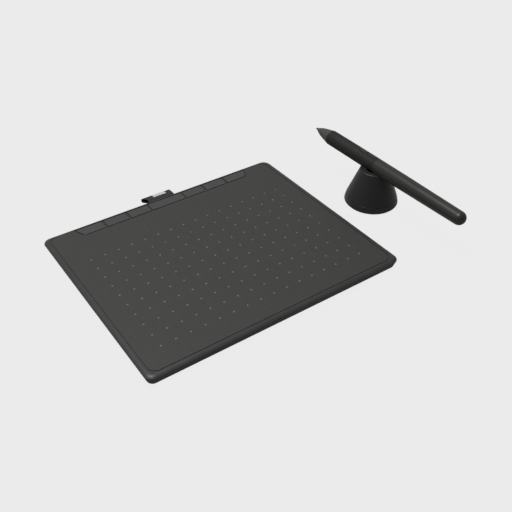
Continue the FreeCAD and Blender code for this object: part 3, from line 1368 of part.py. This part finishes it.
def make_nib_rack():
    """Rack with a ring of bores, the spare nibs in it and the ring that pulls a worn nib."""
    rack = stand_body("nib_rack")
    inner = size("rack_inner")
    outer = size("rack_outer")
    turned(rack, [
        (inner, RACK_SEAT), (outer, RACK_SEAT), (outer, RACK_TOP, size("rack_round")),
        (inner, RACK_TOP, size("rack_round"))])
    bore = sketch_on(rack, "BoreOutline", offset=NIB_SEAT)
    circle(bore, size("rack_circle"), 0, size("nib_radius") + size("nib_play"))
    cut = pocket(rack, bore, size("rack_bore"), "Bore", along_normal=True)
    ring_of(rack, cut, SPARE_NIBS, False)

    nibs = stand_body("spare_nibs")
    profile = sketch_on(nibs, "NibProfile", "XZ_Plane")
    radius = size("nib_radius")
    nib_top = NIB_SEAT + size("nib_length")
    circle_x = size("rack_circle")
    outline(profile, [(circle_x, NIB_SEAT), (circle_x + radius, NIB_SEAT),
                      (circle_x + radius, nib_top, radius * NIB_ROUNDING), (circle_x, nib_top)])
    line = profile.addGeometry(Part.LineSegment(
        FreeCAD.Vector(circle_x.number, 0, 0), FreeCAD.Vector(circle_x.number, 1, 0)), True)
    profile.addConstraint(Sketcher.Constraint("Vertical", line))
    dimension(profile, "DistanceX", (line, 1), circle_x)
    dimension(profile, "DistanceY", (line, 1), 0)
    dimension(profile, "DistanceY", (line, 2), 1)
    nib = revolve(nibs, profile, "Axis0", "Nib")
    ring_of(nibs, nib, SPARE_NIBS, True)

    puller = stand_body("nib_puller")
    plan = sketch_on(puller, "PullerOutline", offset=RACK_SEAT)
    circle(plan, 0, 0, size("puller_outer"))
    circle(plan, 0, 0, size("puller_inner"))
    pad(puller, plan, size("puller_height"), "Ring")
    gap = sketch_on(puller, "GapOutline", offset=RACK_SEAT)
    half_gap = size("puller_gap") / 2
    box(gap, size("puller_inner") - CUT_OVER, size("puller_outer") + CUT_OVER, -half_gap, half_gap)
    pocket(puller, gap, size("puller_height"), "Gap", along_normal=True)


def ring_of(body, feature, count, grows):
    """Repeats a feature round the body's upright axis."""
    pattern = body.newObject("PartDesign::PolarPattern", "Around")
    pattern.Originals = [feature]
    pattern.Axis = (origin_feature(body, "Z_Axis"), [""])
    pattern.Angle = 360
    pattern.Occurrences = count
    body.Tip = pattern
    return finish_feature(body, pattern, grows)


def write_parts():
    """Checks every object and writes one file for each body."""
    doc.recompute()
    for item in doc.Objects:
        if "Invalid" in item.State or "Error" in item.State:
            raise RuntimeError(f"{item.Label} is {item.State}")
    bodies = [item for item in doc.Objects if item.TypeId == "PartDesign::Body"]
    os.makedirs("parts", exist_ok=True)
    for body in bodies:
        shape = body.Shape
        if shape.isNull() or not shape.isValid() or not shape.Solids:
            raise RuntimeError(f"{body.Label} has no valid solid")
        shape.exportStep(f"parts/{body.Label}.step")
    print(len(bodies), "sub-parts written")


make_top_cover()
make_drawing_film()
make_bottom_cover()
make_case_screws()
make_feet()
make_keys()
make_centre_block()
make_key_switches()
make_sensor()
make_main_board()
make_board_chips()
make_flex()
make_usb_socket()
make_pen_loop()
make_loop_clamp()
make_nib()
make_nose_cone()
make_tube_and_grip()
make_rear_barrel()
make_side_buttons()
make_pen_core()
make_stand_shell()
make_stand_base()
make_nib_rack()
write_parts()
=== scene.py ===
# Looks of a graphics tablet, its pen and the pen's stand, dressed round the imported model.
# All lengths are in metres, in the model's own frame, unless a comment says otherwise.
import math

import bmesh
import bpy
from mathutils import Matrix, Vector


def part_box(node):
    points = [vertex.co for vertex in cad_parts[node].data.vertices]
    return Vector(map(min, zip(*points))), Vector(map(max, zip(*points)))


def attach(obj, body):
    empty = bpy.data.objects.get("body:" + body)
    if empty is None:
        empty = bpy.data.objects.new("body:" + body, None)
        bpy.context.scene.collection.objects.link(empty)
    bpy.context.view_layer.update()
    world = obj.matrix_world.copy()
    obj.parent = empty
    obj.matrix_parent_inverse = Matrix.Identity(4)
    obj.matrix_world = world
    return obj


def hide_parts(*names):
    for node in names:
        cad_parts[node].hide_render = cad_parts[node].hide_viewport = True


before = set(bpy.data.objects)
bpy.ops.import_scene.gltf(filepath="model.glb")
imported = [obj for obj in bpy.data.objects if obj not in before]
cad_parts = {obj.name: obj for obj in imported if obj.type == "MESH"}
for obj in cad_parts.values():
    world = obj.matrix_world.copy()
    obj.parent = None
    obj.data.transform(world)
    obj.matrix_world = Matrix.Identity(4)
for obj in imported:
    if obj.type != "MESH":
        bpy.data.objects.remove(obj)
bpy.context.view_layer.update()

MM = 0.001

# Printed marks of the working area, whose middle lies in front of the tablet's.
MARK_COLUMNS = 16
MARK_ROWS = 10
AREA_WIDTH = 160 * MM
AREA_DEPTH = 100 * MM
AREA_SHIFT = 10.38 * MM
MARK_RADIUS = 0.7 * MM
MARK_TOP_SHARE = 0.9
MARK_HEIGHT = 0.02 * MM

# Webbing of the pen loop: its thickness, how far its fold reaches beyond the left edge, and how far
# behind the tablet's back edge that flare starts and is full.
WEBBING = 0.9 * MM
LOOP_FLARE = 3.0 * MM
FLARE_START = 8.0 * MM
FLARE_END = 11.5 * MM

# Upper half of the loop's middle line: behind the tablet's back edge, above the loop's middle.
LOOP_LINE = [(-10.3 * MM, 0.45 * MM), (-1.5 * MM, 0.45 * MM), (1.2 * MM, 1.0 * MM),
             (4.0 * MM, 1.7 * MM), (8.0 * MM, 1.65 * MM), (11.1 * MM, 1.3 * MM), (12.3 * MM, 0.0)]
LINE_STEPS = 8

# Height of that middle behind the tablet and inside it, and how far behind the edge the change ends.
LOOP_MIDDLE = 2.5 * MM
TONGUE_MIDDLE = 2.8 * MM
MIDDLE_CHANGE = 4.0 * MM

# Points across a strip of cloth as shares of its width, and how thick its long edges are as a share.
STRIP_SHARES = [0, 0.015, 0.04] + [step / 12 for step in range(1, 12)] + [0.96, 0.985, 1]
STRIP_EDGE = 0.5

# Plain label on the loop, measured from the tablet's middle and from its back edge.
LABEL_LEFT = -3.7 * MM
LABEL_RIGHT = 7.4 * MM
LABEL_FRONT = 7.4 * MM
LABEL_BACK = 10.9 * MM
LABEL_HEIGHT = 0.12 * MM
LABEL_SUNK = 0.02 * MM

# Stitches that close the loop in front of the label.
STITCH_COUNT = 9
STITCH_LENGTH = 1.5 * MM
STITCH_WIDTH = 0.35 * MM
STITCH_HEIGHT = STITCH_WIDTH * 0.6
STITCH_LINE = 3.4 * MM

# Contacts on the cable socket's tongue: how far they lie in from its mouth and away from its middle.
CONTACTS = 12
CONTACT_PITCH = 0.5 * MM
CONTACT_LENGTH = 4.0 * MM
CONTACT_WIDTH = CONTACT_PITCH / 2
CONTACT_THICKNESS = 0.06 * MM
CONTACT_INSET = 1.2 * MM
CONTACT_RISE = 0.36 * MM

# Camera, measured from the middle of the tablet's underside.
# Its turn is in degrees, its lens and its sensor are in millimetres.
CAMERA_PLACE = (-208.07 * MM, -336.38 * MM, 318.23 * MM)
CAMERA_TURN = (51.959, 0.115, -34.161)
CAMERA_LENS = 49.48
CAMERA_SENSOR = 36
CAMERA_SHIFT = (0.0303, -0.0157)
CAMERA_NEAR = 0.01

# Ground: its level for the camera, the level that catches shadows, and the shares of glow.
GROUND = 241
GROUND_BOUNCE = 128
GROUND_SHARE = 0.93
GROUND_MIRRORED = 0.22
GROUND_SIZE = 6
GROUND_DROP = 0.00002

# How bright the studio is in front of the object and behind it, and the level that the camera sees.
STUDIO_FRONT = 0.1
STUDIO_BEHIND = 0.5
HORIZON = 235

# Lamp above the object, a little behind it and to its left.
LAMP_PLACE = (-0.25, 0.15, 1.15)
LAMP_SIZE = 0.4
LAMP_POWER = 7.5

# Colour sockets of a mix node, whose names its other sockets have too.
MIX_FIRST = 6
MIX_SECOND = 7
MIX_RESULT = 2

# Pieces of the model that come in sets.
KEY_COUNT = 6
FOOT_CORNERS = ("front_left", "front_right", "back_left", "back_right")


def linear(level):
    """A screen level from 0 to 255 as linear light."""
    share = level / 255
    return share / 12.92 if share <= 0.04045 else ((share + 0.055) / 1.055) ** 2.4


def colour(red, green, blue):
    """A screen colour as linear light, with full alpha."""
    return (linear(red), linear(green), linear(blue), 1.0)


def grey(level):
    """A neutral colour of that screen level."""
    return colour(level, level, level)


def add_node(tree, kind, inputs=None, **settings):
    """Adds a node to a tree, sets its fields and fills or links its inputs."""
    node = tree.nodes.new(kind)
    for field, value in settings.items():
        setattr(node, field, value)
    for socket, value in (inputs or {}).items():
        if isinstance(value, bpy.types.NodeSocket):
            tree.links.new(value, node.inputs[socket])
        else:
            node.inputs[socket].default_value = value
    return node


class Finish:
    """A material under construction: its node tree, its shader and its object coordinates."""

    def __init__(self, name, **constants):
        self.material = bpy.data.materials.new(name)
        self.material.use_nodes = True
        self.tree = self.material.node_tree
        self.shader = self.tree.nodes["Principled BSDF"]
        self.place = self.add("ShaderNodeTexCoord").outputs["Object"]
        for socket, value in constants.items():
            self.shader.inputs[socket.replace("_", " ")].default_value = value

    def add(self, kind, inputs=None, **settings):
        """Adds a node to the material's tree."""
        return add_node(self.tree, kind, inputs, **settings)

    def join(self, output, socket):
        """Links an output to one of the shader's sockets."""
        self.tree.links.new(output, self.shader.inputs[socket])

    def stretched(self, x, y, z):
        """Object coordinates scaled by axis."""
        return self.add("ShaderNodeMapping", {"Vector": self.place, "Scale": (x, y, z)}).outputs[0]

    def noise(self, size, detail=2.0, place=None):
        """Noise whose features are about that size."""
        inputs = {"Vector": place or self.place, "Scale": 1 / size, "Detail": detail}
        return self.add("ShaderNodeTexNoise", inputs).outputs["Fac"]

    def spread(self, value, low, high, start=0.3, end=0.7):
        """Maps a value from one range onto another."""
        inputs = {"Value": value, "From Min": start, "From Max": end, "To Min": low, "To Max": high}
        return self.add("ShaderNodeMapRange", inputs).outputs[0]

    def blend(self, factor, first, second):
        """Mixes two colours by a factor."""
        inputs = {"Factor": factor, MIX_FIRST: first, MIX_SECOND: second}
        return self.add("ShaderNodeMix", inputs, data_type="RGBA").outputs[MIX_RESULT]

    def mottle(self, base, amount, size):
        """Base colour that drifts a little from patch to patch."""
        dark = tuple(channel * (1 - amount) for channel in base[:3]) + (1.0,)
        pale = tuple(channel * (1 + amount) for channel in base[:3]) + (1.0,)
        return self.blend(self.spread(self.noise(size), 0, 1), dark, pale)

    def bump(self, height, depth):
        """Relief of that depth from a height between 0 and 1."""
        inputs = {"Height": height, "Distance": depth, "Strength": 1.0}
        return self.add("ShaderNodeBump", inputs).outputs["Normal"]


def moulded(name, base, roughness, grain=0.3 * MM, depth=0.01 * MM, **constants):
    """Moulded plastic with an eroded grain and slightly uneven gloss."""
    finish = Finish(name, **constants)
    finish.join(finish.mottle(base, 0.06, 22 * MM), "Base Color")
    finish.join(finish.spread(finish.noise(9 * MM, 4), roughness - 0.04, roughness + 0.04), "Roughness")
    finish.join(finish.bump(finish.noise(grain, 3), depth), "Normal")
    return finish.material


def film_finish():
    """Writing film: matte, with a fine tooth and faint scuffs."""
    finish = Finish("film_finish")
    scuffs = finish.noise(1.0, 6, finish.stretched(420, 90, 1))
    base = finish.mottle(colour(56, 56, 53), 0.02, 30 * MM)
    finish.join(finish.blend(finish.spread(scuffs, 0, 0.12), base, colour(84, 84, 80)), "Base Color")
    finish.join(finish.spread(finish.noise(14 * MM, 4), 0.52, 0.56), "Roughness")
    finish.join(finish.bump(finish.noise(0.16 * MM, 4), 0.008 * MM), "Normal")
    return finish.material


def mark_finish():
    """Pale ink of the printed marks."""
    finish = Finish("mark_finish")
    finish.join(finish.mottle(colour(115, 115, 112), 0.1, 2 * MM), "Base Color")
    finish.join(finish.spread(finish.noise(0.3 * MM), 0.5, 0.7), "Roughness")
    return finish.material


def weave_finish(name, warp, weft, pitch):
    """Woven webbing or label cloth: raised threads that cross."""
    finish = Finish(name)
    wave = {"Vector": finish.place, "Scale": 1 / (pitch * math.pi), "Distortion": 0.6, "Detail": 1.0}
    along = finish.add("ShaderNodeTexWave", wave, bands_direction="X").outputs["Fac"]
    across = finish.add("ShaderNodeTexWave", wave, bands_direction="DIAGONAL").outputs["Fac"]
    threads = finish.add("ShaderNodeMath", {0: along, 1: across}, operation="MULTIPLY").outputs[0]
    fuzz = finish.noise(0.12 * MM, 4)
    height = finish.add("ShaderNodeMath", {0: threads, 1: fuzz}, operation="ADD").outputs[0]
    finish.join(finish.blend(finish.spread(threads, 0, 1, 0, 1), weft, warp), "Base Color")
    finish.join(finish.spread(fuzz, 0.77, 0.93), "Roughness")
    finish.join(finish.bump(height, 0.12 * MM), "Normal")
    return finish.material


def rubber_finish(name, base, roughness=0.75):
    """Rubber or thread with a fine dull grain."""
    finish = Finish(name)
    finish.join(finish.mottle(base, 0.08, 8 * MM), "Base Color")
    finish.join(finish.spread(finish.noise(3 * MM, 4), roughness - 0.06, roughness + 0.06), "Roughness")
    finish.join(finish.bump(finish.noise(0.14 * MM, 3), 0.012 * MM), "Normal")
    return finish.material


def metal_finish(name, base, roughness, direction):
    """Metal with fine lines along one direction."""
    finish = Finish(name, Metallic=1.0)
    stretch = [6000.0] * 3
    stretch[direction] = 60.0
    lines = finish.noise(1.0, 3, finish.stretched(*stretch))
    finish.join(finish.mottle(base, 0.05, 12 * MM), "Base Color")
    finish.join(finish.spread(lines, roughness - 0.07, roughness + 0.1), "Roughness")
    finish.join(finish.bump(lines, 0.004 * MM), "Normal")
    return finish.material


def board_finish():
    """Circuit board: solder resist over copper tracks."""
    finish = Finish("board_finish", Coat_Weight=0.4, Coat_Roughness=0.15)
    tracks = finish.add("ShaderNodeTexBrick", {
        "Vector": finish.place, "Scale": 160.0, "Mortar Size": 0.04, "Color1": (0, 0, 0, 1),
        "Color2": (0, 0, 0, 1), "Mortar": (1, 1, 1, 1)}).outputs["Fac"]
    finish.join(finish.blend(tracks, colour(14, 62, 40), colour(30, 92, 58)), "Base Color")
    finish.join(finish.spread(finish.noise(4 * MM), 0.3, 0.42), "Roughness")
    finish.join(finish.bump(tracks, 0.03 * MM), "Normal")
    return finish.material


def winding_finish():
    """Enamelled copper wire, wound side by side round the pen's axis."""
    finish = Finish("winding_finish", Metallic=1.0)
    turns = finish.add("ShaderNodeTexWave", {"Vector": finish.place, "Scale": 800.0},
                       bands_direction="Y").outputs["Fac"]
    finish.join(finish.blend(turns, colour(110, 52, 28), colour(206, 118, 70)), "Base Color")
    finish.join(finish.spread(turns, 0.45, 0.3, 0, 1), "Roughness")
    finish.join(finish.bump(turns, 0.05 * MM), "Normal")
    return finish.material


def new_piece(name, build, finish, body):
    """A mesh piece with its faces turned outwards and its material, riding on a body."""
    bmesh.ops.recalc_face_normals(build, faces=build.faces)
    mesh = bpy.data.meshes.new(name)
    build.to_mesh(mesh)
    build.free()
    for polygon in mesh.polygons:
        polygon.use_smooth = True
    piece = bpy.data.objects.new(name, mesh)
    bpy.context.scene.collection.objects.link(piece)
    mesh.materials.append(finish)
    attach(piece, body)
    return piece


def tablet_middle():
    """Middle of the tablet's outline, at the desk."""
    low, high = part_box("bottom_cover")
    return Vector(((low.x + high.x) / 2, (low.y + high.y) / 2, 0))


def area_marks():
    """Grid of small printed discs on the drawing film."""
    middle = tablet_middle() + Vector((0, -AREA_SHIFT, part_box("drawing_film")[1].z))
    build = bmesh.new()
    for row in range(MARK_ROWS):
        for column in range(MARK_COLUMNS):
            spot = middle + Vector((
                (column / (MARK_COLUMNS - 1) - 0.5) * AREA_WIDTH,
                (row / (MARK_ROWS - 1) - 0.5) * AREA_DEPTH, 0))
            made = bmesh.ops.create_cone(
                build, cap_ends=True, segments=20, radius1=MARK_RADIUS,
                radius2=MARK_RADIUS * MARK_TOP_SHARE, depth=MARK_HEIGHT)
            bmesh.ops.translate(build, verts=made["verts"], vec=spot)
    new_piece("area_marks", build, mark_finish(), "tablet")


def curve_through(points, steps):
    """Smooth line through a few points, with that many steps from each to the next."""
    ends = [points[0]] + points + [points[-1]]
    line = []
    for before, start, end, after in zip(ends, ends[1:], ends[2:], ends[3:]):
        for step in range(steps):
            share = step / steps
            line.append(tuple(
                0.5 * (2 * s + (e - b) * share + (2 * b - 5 * s + 4 * e - a) * share ** 2
                       + (3 * s - b - 3 * e + a) * share ** 3)
                for b, s, e, a in zip(before, start, end, after)))
    return line + [points[-1]]


def smooth_step(value, start, end):
    """Rises softly from 0 at the start to 1 at the end."""
    share = min(max((value - start) / (end - start), 0), 1)
    return share * share * (3 - 2 * share)


def loop_rows():
    """Middle line of the folded webbing, from its upper end round the fold: place and normal."""
    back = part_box("bottom_cover")[1].y
    half = curve_through(LOOP_LINE, LINE_STEPS)

    def place(y, rise):
        middle = TONGUE_MIDDLE + (LOOP_MIDDLE - TONGUE_MIDDLE) * smooth_step(y, 0, MIDDLE_CHANGE)
        return Vector((0, back + y, middle + rise))

    line = [place(y, rise) for y, rise in half] + [place(y, -rise) for y, rise in half[-2::-1]]
    rows = []
    for index, spot in enumerate(line):
        along = line[min(index + 1, len(line) - 1)] - line[max(index - 1, 0)]
        rows.append((spot, Vector((0, -along.z, along.y)).normalized()))
    return rows


def strip_points(build, rows, starts, right, face, middle):
    """Points of one face of a strip of cloth, which nears the strip's middle at its long edges."""
    grid = []
    for (spot, normal), start in zip(rows, starts):
        line = []
        for share in STRIP_SHARES:
            full = STRIP_EDGE if share in (0, 1) else 1.0
            place = spot + normal * (middle + (face - middle) * full)
            line.append(build.verts.new((start + (right - start) * share, place.y, place.z)))
        grid.append(line)
    return grid


def cloth_strip(name, rows, starts, right, under, over, finish):
    """A strip of cloth along rows of places and normals, from each row's start to the right edge."""
    build = bmesh.new()
    middle = (over + under) / 2
    top = strip_points(build, rows, starts, right, over, middle)
    bottom = strip_points(build, rows, starts, right, under, middle)
    last = len(STRIP_SHARES) - 1
    for i in range(len(rows) - 1):
        for j in range(last):
            build.faces.new((top[i][j], top[i][j + 1], top[i + 1][j + 1], top[i + 1][j]))
            build.faces.new((bottom[i][j], bottom[i + 1][j], bottom[i + 1][j + 1], bottom[i][j + 1]))
        for j in (0, last):
            build.faces.new((top[i][j], top[i + 1][j], bottom[i + 1][j], bottom[i][j]))
    for i in (0, len(rows) - 1):
        for j in range(last):
            build.faces.new((top[i][j], top[i][j + 1], bottom[i][j + 1], bottom[i][j]))
    return new_piece(name, build, finish, "tablet")


def pen_loop():
    """Folded webbing of the pen loop with its plain label and its row of stitches."""
    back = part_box("bottom_cover")[1].y
    low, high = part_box("pen_loop")
    rows = loop_rows()
    starts = [low.x - LOOP_FLARE * smooth_step(spot.y - back, FLARE_START, FLARE_END)
              for spot, _ in rows]
    cloth = weave_finish("webbing_finish", colour(76, 81, 79), colour(38, 43, 42), 0.7 * MM)
    webbing = cloth_strip("loop_webbing", rows, starts, high.x, -WEBBING / 2, WEBBING / 2, cloth)
    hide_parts("pen_loop")
    upper = rows[:len(rows) // 2 + 1]
    loop_label([row for row in upper if LABEL_FRONT <= row[0].y - back <= LABEL_BACK])
    seam = min(upper, key=lambda row: abs(row[0].y - back - STITCH_LINE))
    loop_stitches(seam, low.x, high.x)


def loop_label(rows):
    """Plain label on those rows of the loop's upper layer."""
    middle = tablet_middle().x
    cloth = weave_finish("label_finish", colour(238, 238, 236), colour(222, 222, 220), 0.3 * MM)
    cloth_strip("loop_label", rows, [middle + LABEL_LEFT] * len(rows), middle + LABEL_RIGHT,
                WEBBING / 2 - LABEL_SUNK, WEBBING / 2 + LABEL_HEIGHT, cloth)


def loop_stitches(seam, left, right):
    """A row of stitches across the loop's upper layer."""
    spot, normal = seam
    place = spot + normal * (WEBBING / 2)
    pitch = (right - left) / STITCH_COUNT
    build = bmesh.new()
    for number in range(STITCH_COUNT):
        made = bmesh.ops.create_uvsphere(build, u_segments=12, v_segments=8, radius=0.5)
        bmesh.ops.scale(build, verts=made["verts"], vec=(STITCH_LENGTH, STITCH_WIDTH, STITCH_HEIGHT))
        bmesh.ops.translate(build, verts=made["verts"],
                            vec=(left + pitch * (number + 0.5), place.y, place.z))
    thread = rubber_finish("thread_finish", colour(30, 32, 31), 0.8)
    new_piece("loop_stitches", build, thread, "tablet")


def socket_contacts():
    """Gold contacts on both faces of the cable socket's tongue."""
    low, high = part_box("usb_socket")
    middle = (low + high) / 2
    build = bmesh.new()
    for side in (-1, 1):
        for number in range(CONTACTS):
            made = bmesh.ops.create_cube(build, size=1)
            bmesh.ops.scale(build, verts=made["verts"],
                            vec=(CONTACT_LENGTH, CONTACT_WIDTH, CONTACT_THICKNESS))
            bmesh.ops.translate(build, verts=made["verts"], vec=(
                high.x - CONTACT_INSET - CONTACT_LENGTH / 2,
                middle.y + (number - (CONTACTS - 1) / 2) * CONTACT_PITCH,
                middle.z + side * CONTACT_RISE))
    gold = metal_finish("contact_finish", colour(214, 176, 96), 0.25, 0)
    new_piece("socket_contacts", build, gold, "tablet")


def outer_finishes():
    """Materials of the tablet's covers, film, keys, screws and feet, its loop and the stand's pad."""
    keys = moulded("key_finish", grey(68), 0.44, grain=0.2 * MM, depth=0.002 * MM)
    rubber = rubber_finish("foot_finish", grey(30))
    finishes = {
        "top_cover": moulded("case_finish", colour(56, 57, 56), 0.43, depth=0.002 * MM),
        # The tray's colour is darker than the case's. Over its own dark plastic, this is painted shade
        # on the tablet's lower, inward-leaning wall.
        "bottom_cover": moulded("tray_painted_shade_finish", colour(36, 37, 36), 0.5, depth=0.003 * MM),
        "drawing_film": film_finish(),
        "centre_block": keys,
        "case_screws": metal_finish("screw_finish", colour(70, 70, 74), 0.4, 2),
        "pen_loop": rubber,
        "stand_pad": rubber,
    }
    for number in range(KEY_COUNT):
        finishes[f"key_{number + 1}"] = keys
    for corner in FOOT_CORNERS:
        finishes[f"foot_{corner}"] = rubber
    return finishes


def inner_finishes():
    """Materials of the boards, of what sits on them, and of the steel pieces."""
    board = board_finish()
    epoxy = moulded("epoxy_finish", colour(24, 24, 26), 0.5)
    steel = metal_finish("steel_finish", grey(190), 0.35, 0)
    return {
        "sensor_board": board, "main_board": board, "pen_board": board,
        "board_chips": epoxy, "key_switches": epoxy, "pen_switches": epoxy, "flex_connector": epoxy,
        "shield_plate": steel, "loop_clamp": steel, "nib_puller": steel, "stand_weight": steel,
        "flat_flex": moulded("flex_finish", colour(190, 120, 40), 0.3),
        "usb_socket": metal_finish("socket_finish", colour(170, 170, 174), 0.25, 0),
    }


def pen_finishes():
    """Materials of the pen's pieces and of the spare nibs."""
    barrel = moulded("pen_finish", colour(43, 46, 40), 0.4, depth=0.0004 * MM, Sheen_Weight=0.05)
    button = moulded("button_finish", colour(32, 34, 33), 0.28, depth=0.003 * MM)
    nib = moulded("nib_finish", grey(40), 0.45)
    return {
        "nose_cone": moulded("nose_finish", colour(71, 74, 70), 0.44, depth=0.001 * MM),
        "grip_sleeve": rubber_finish("grip_finish", colour(27, 29, 22), 0.66),
        "front_tube": barrel, "rear_barrel": barrel, "pen_frame": barrel, "nib_holder": barrel,
        "side_button_front": button, "side_button_rear": button,
        "ferrite_core": moulded("ferrite_finish", colour(60, 60, 64), 0.6),
        "pickup_coil": winding_finish(),
        "pressure_sensor": moulded("sensor_finish", colour(44, 44, 50), 0.5),
        "nib": nib, "spare_nibs": nib,
    }


def stand_finishes():
    """Material of the stand's plastic pieces."""
    stand = moulded("stand_finish", colour(37, 37, 38), 0.42, grain=0.25 * MM, depth=0.0005 * MM,
                    Sheen_Weight=0.5, Sheen_Roughness=0.3)
    return {"stand_shell": stand, "stand_base": stand, "nib_rack": stand}


def dress_nodes():
    """Gives every node of the model its material."""
    finishes = outer_finishes() | inner_finishes() | pen_finishes() | stand_finishes()
    for name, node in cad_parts.items():
        node.data.materials.clear()
        node.data.materials.append(finishes[name])


def glow_share(tree):
    """How much of its glow the ground shows to a ray of the camera, of a mirror or of glass."""
    rays = add_node(tree, "ShaderNodeLightPath").outputs
    seen = 0
    for ray, share in (("Is Transmission Ray", GROUND_MIRRORED), ("Is Glossy Ray", GROUND_MIRRORED),
                       ("Is Camera Ray", GROUND_SHARE)):
        seen = add_node(tree, "ShaderNodeMath", {0: rays[ray], 1: share, 2: seen},
                        operation="MULTIPLY_ADD").outputs[0]
    return seen


def add_floor():
    """Plain pale floor, which shows as an even background and keeps a soft shadow."""
    bpy.ops.mesh.primitive_plane_add(size=GROUND_SIZE)
    floor = bpy.context.object
    floor.name = "floor"
    floor.location.z = -GROUND_DROP
    material = bpy.data.materials.new("floor_finish")
    material.use_nodes = True
    tree = material.node_tree
    shader = tree.nodes["Principled BSDF"]
    shader.inputs["Base Color"].default_value = grey(GROUND_BOUNCE)
    shader.inputs["Roughness"].default_value = 0.9
    shader.inputs["Specular IOR Level"].default_value = 0.1
    glow = add_node(tree, "ShaderNodeEmission", {"Color": grey(GROUND)})
    mix = add_node(tree, "ShaderNodeMixShader", {
        0: glow_share(tree), 1: shader.outputs[0], 2: glow.outputs[0]})
    tree.links.new(mix.outputs[0], tree.nodes["Material Output"].inputs["Surface"])
    floor.data.materials.append(material)


def add_surround():
    """Studio round the object, paler behind it than in front, and even to the camera."""
    world = bpy.data.worlds.new("studio")
    world.use_nodes = True
    tree = world.node_tree
    background = tree.nodes["Background"]
    background.inputs["Color"].default_value = (1, 1, 1, 1)
    place = add_node(tree, "ShaderNodeTexCoord")
    split = add_node(tree, "ShaderNodeSeparateXYZ", {0: place.outputs["Generated"]})
    bright = add_node(tree, "ShaderNodeMapRange", {
        "Value": split.outputs["Y"], "From Min": -1, "To Min": STUDIO_FRONT, "To Max": STUDIO_BEHIND})
    tree.links.new(bright.outputs[0], background.inputs["Strength"])
    pale = add_node(tree, "ShaderNodeBackground", {"Color": grey(HORIZON)})
    rays = add_node(tree, "ShaderNodeLightPath")
    mix = add_node(tree, "ShaderNodeMixShader", {
        0: rays.outputs["Is Camera Ray"], 1: background.outputs[0], 2: pale.outputs[0]})
    tree.links.new(mix.outputs[0], tree.nodes["World Output"].inputs["Surface"])
    bpy.context.scene.world = world


def add_lamp():
    """A soft square lamp that points at the model's origin."""
    data = bpy.data.lights.new("overhead", "AREA")
    data.shape = "SQUARE"
    data.size = LAMP_SIZE
    data.energy = LAMP_POWER
    lamp = bpy.data.objects.new("overhead", data)
    lamp.location = LAMP_PLACE
    lamp.rotation_euler = (-Vector(LAMP_PLACE)).to_track_quat("-Z", "Y").to_euler()
    bpy.context.scene.collection.objects.link(lamp)


def add_camera():
    """Camera in front of the tablet and to its left, looking down at it."""
    data = bpy.data.cameras.new("camera")
    data.sensor_width = CAMERA_SENSOR
    data.lens = CAMERA_LENS
    data.shift_x, data.shift_y = CAMERA_SHIFT
    data.clip_start = CAMERA_NEAR
    camera = bpy.data.objects.new("camera", data)
    camera.location = tablet_middle() + Vector(CAMERA_PLACE)
    camera.rotation_euler = [math.radians(angle) for angle in CAMERA_TURN]
    bpy.context.scene.collection.objects.link(camera)
    bpy.context.scene.camera = camera


add_camera()
add_surround()
add_lamp()
add_floor()
dress_nodes()
area_marks()
pen_loop()
socket_contacts()
bpy.context.scene.view_settings.view_transform = "Standard"
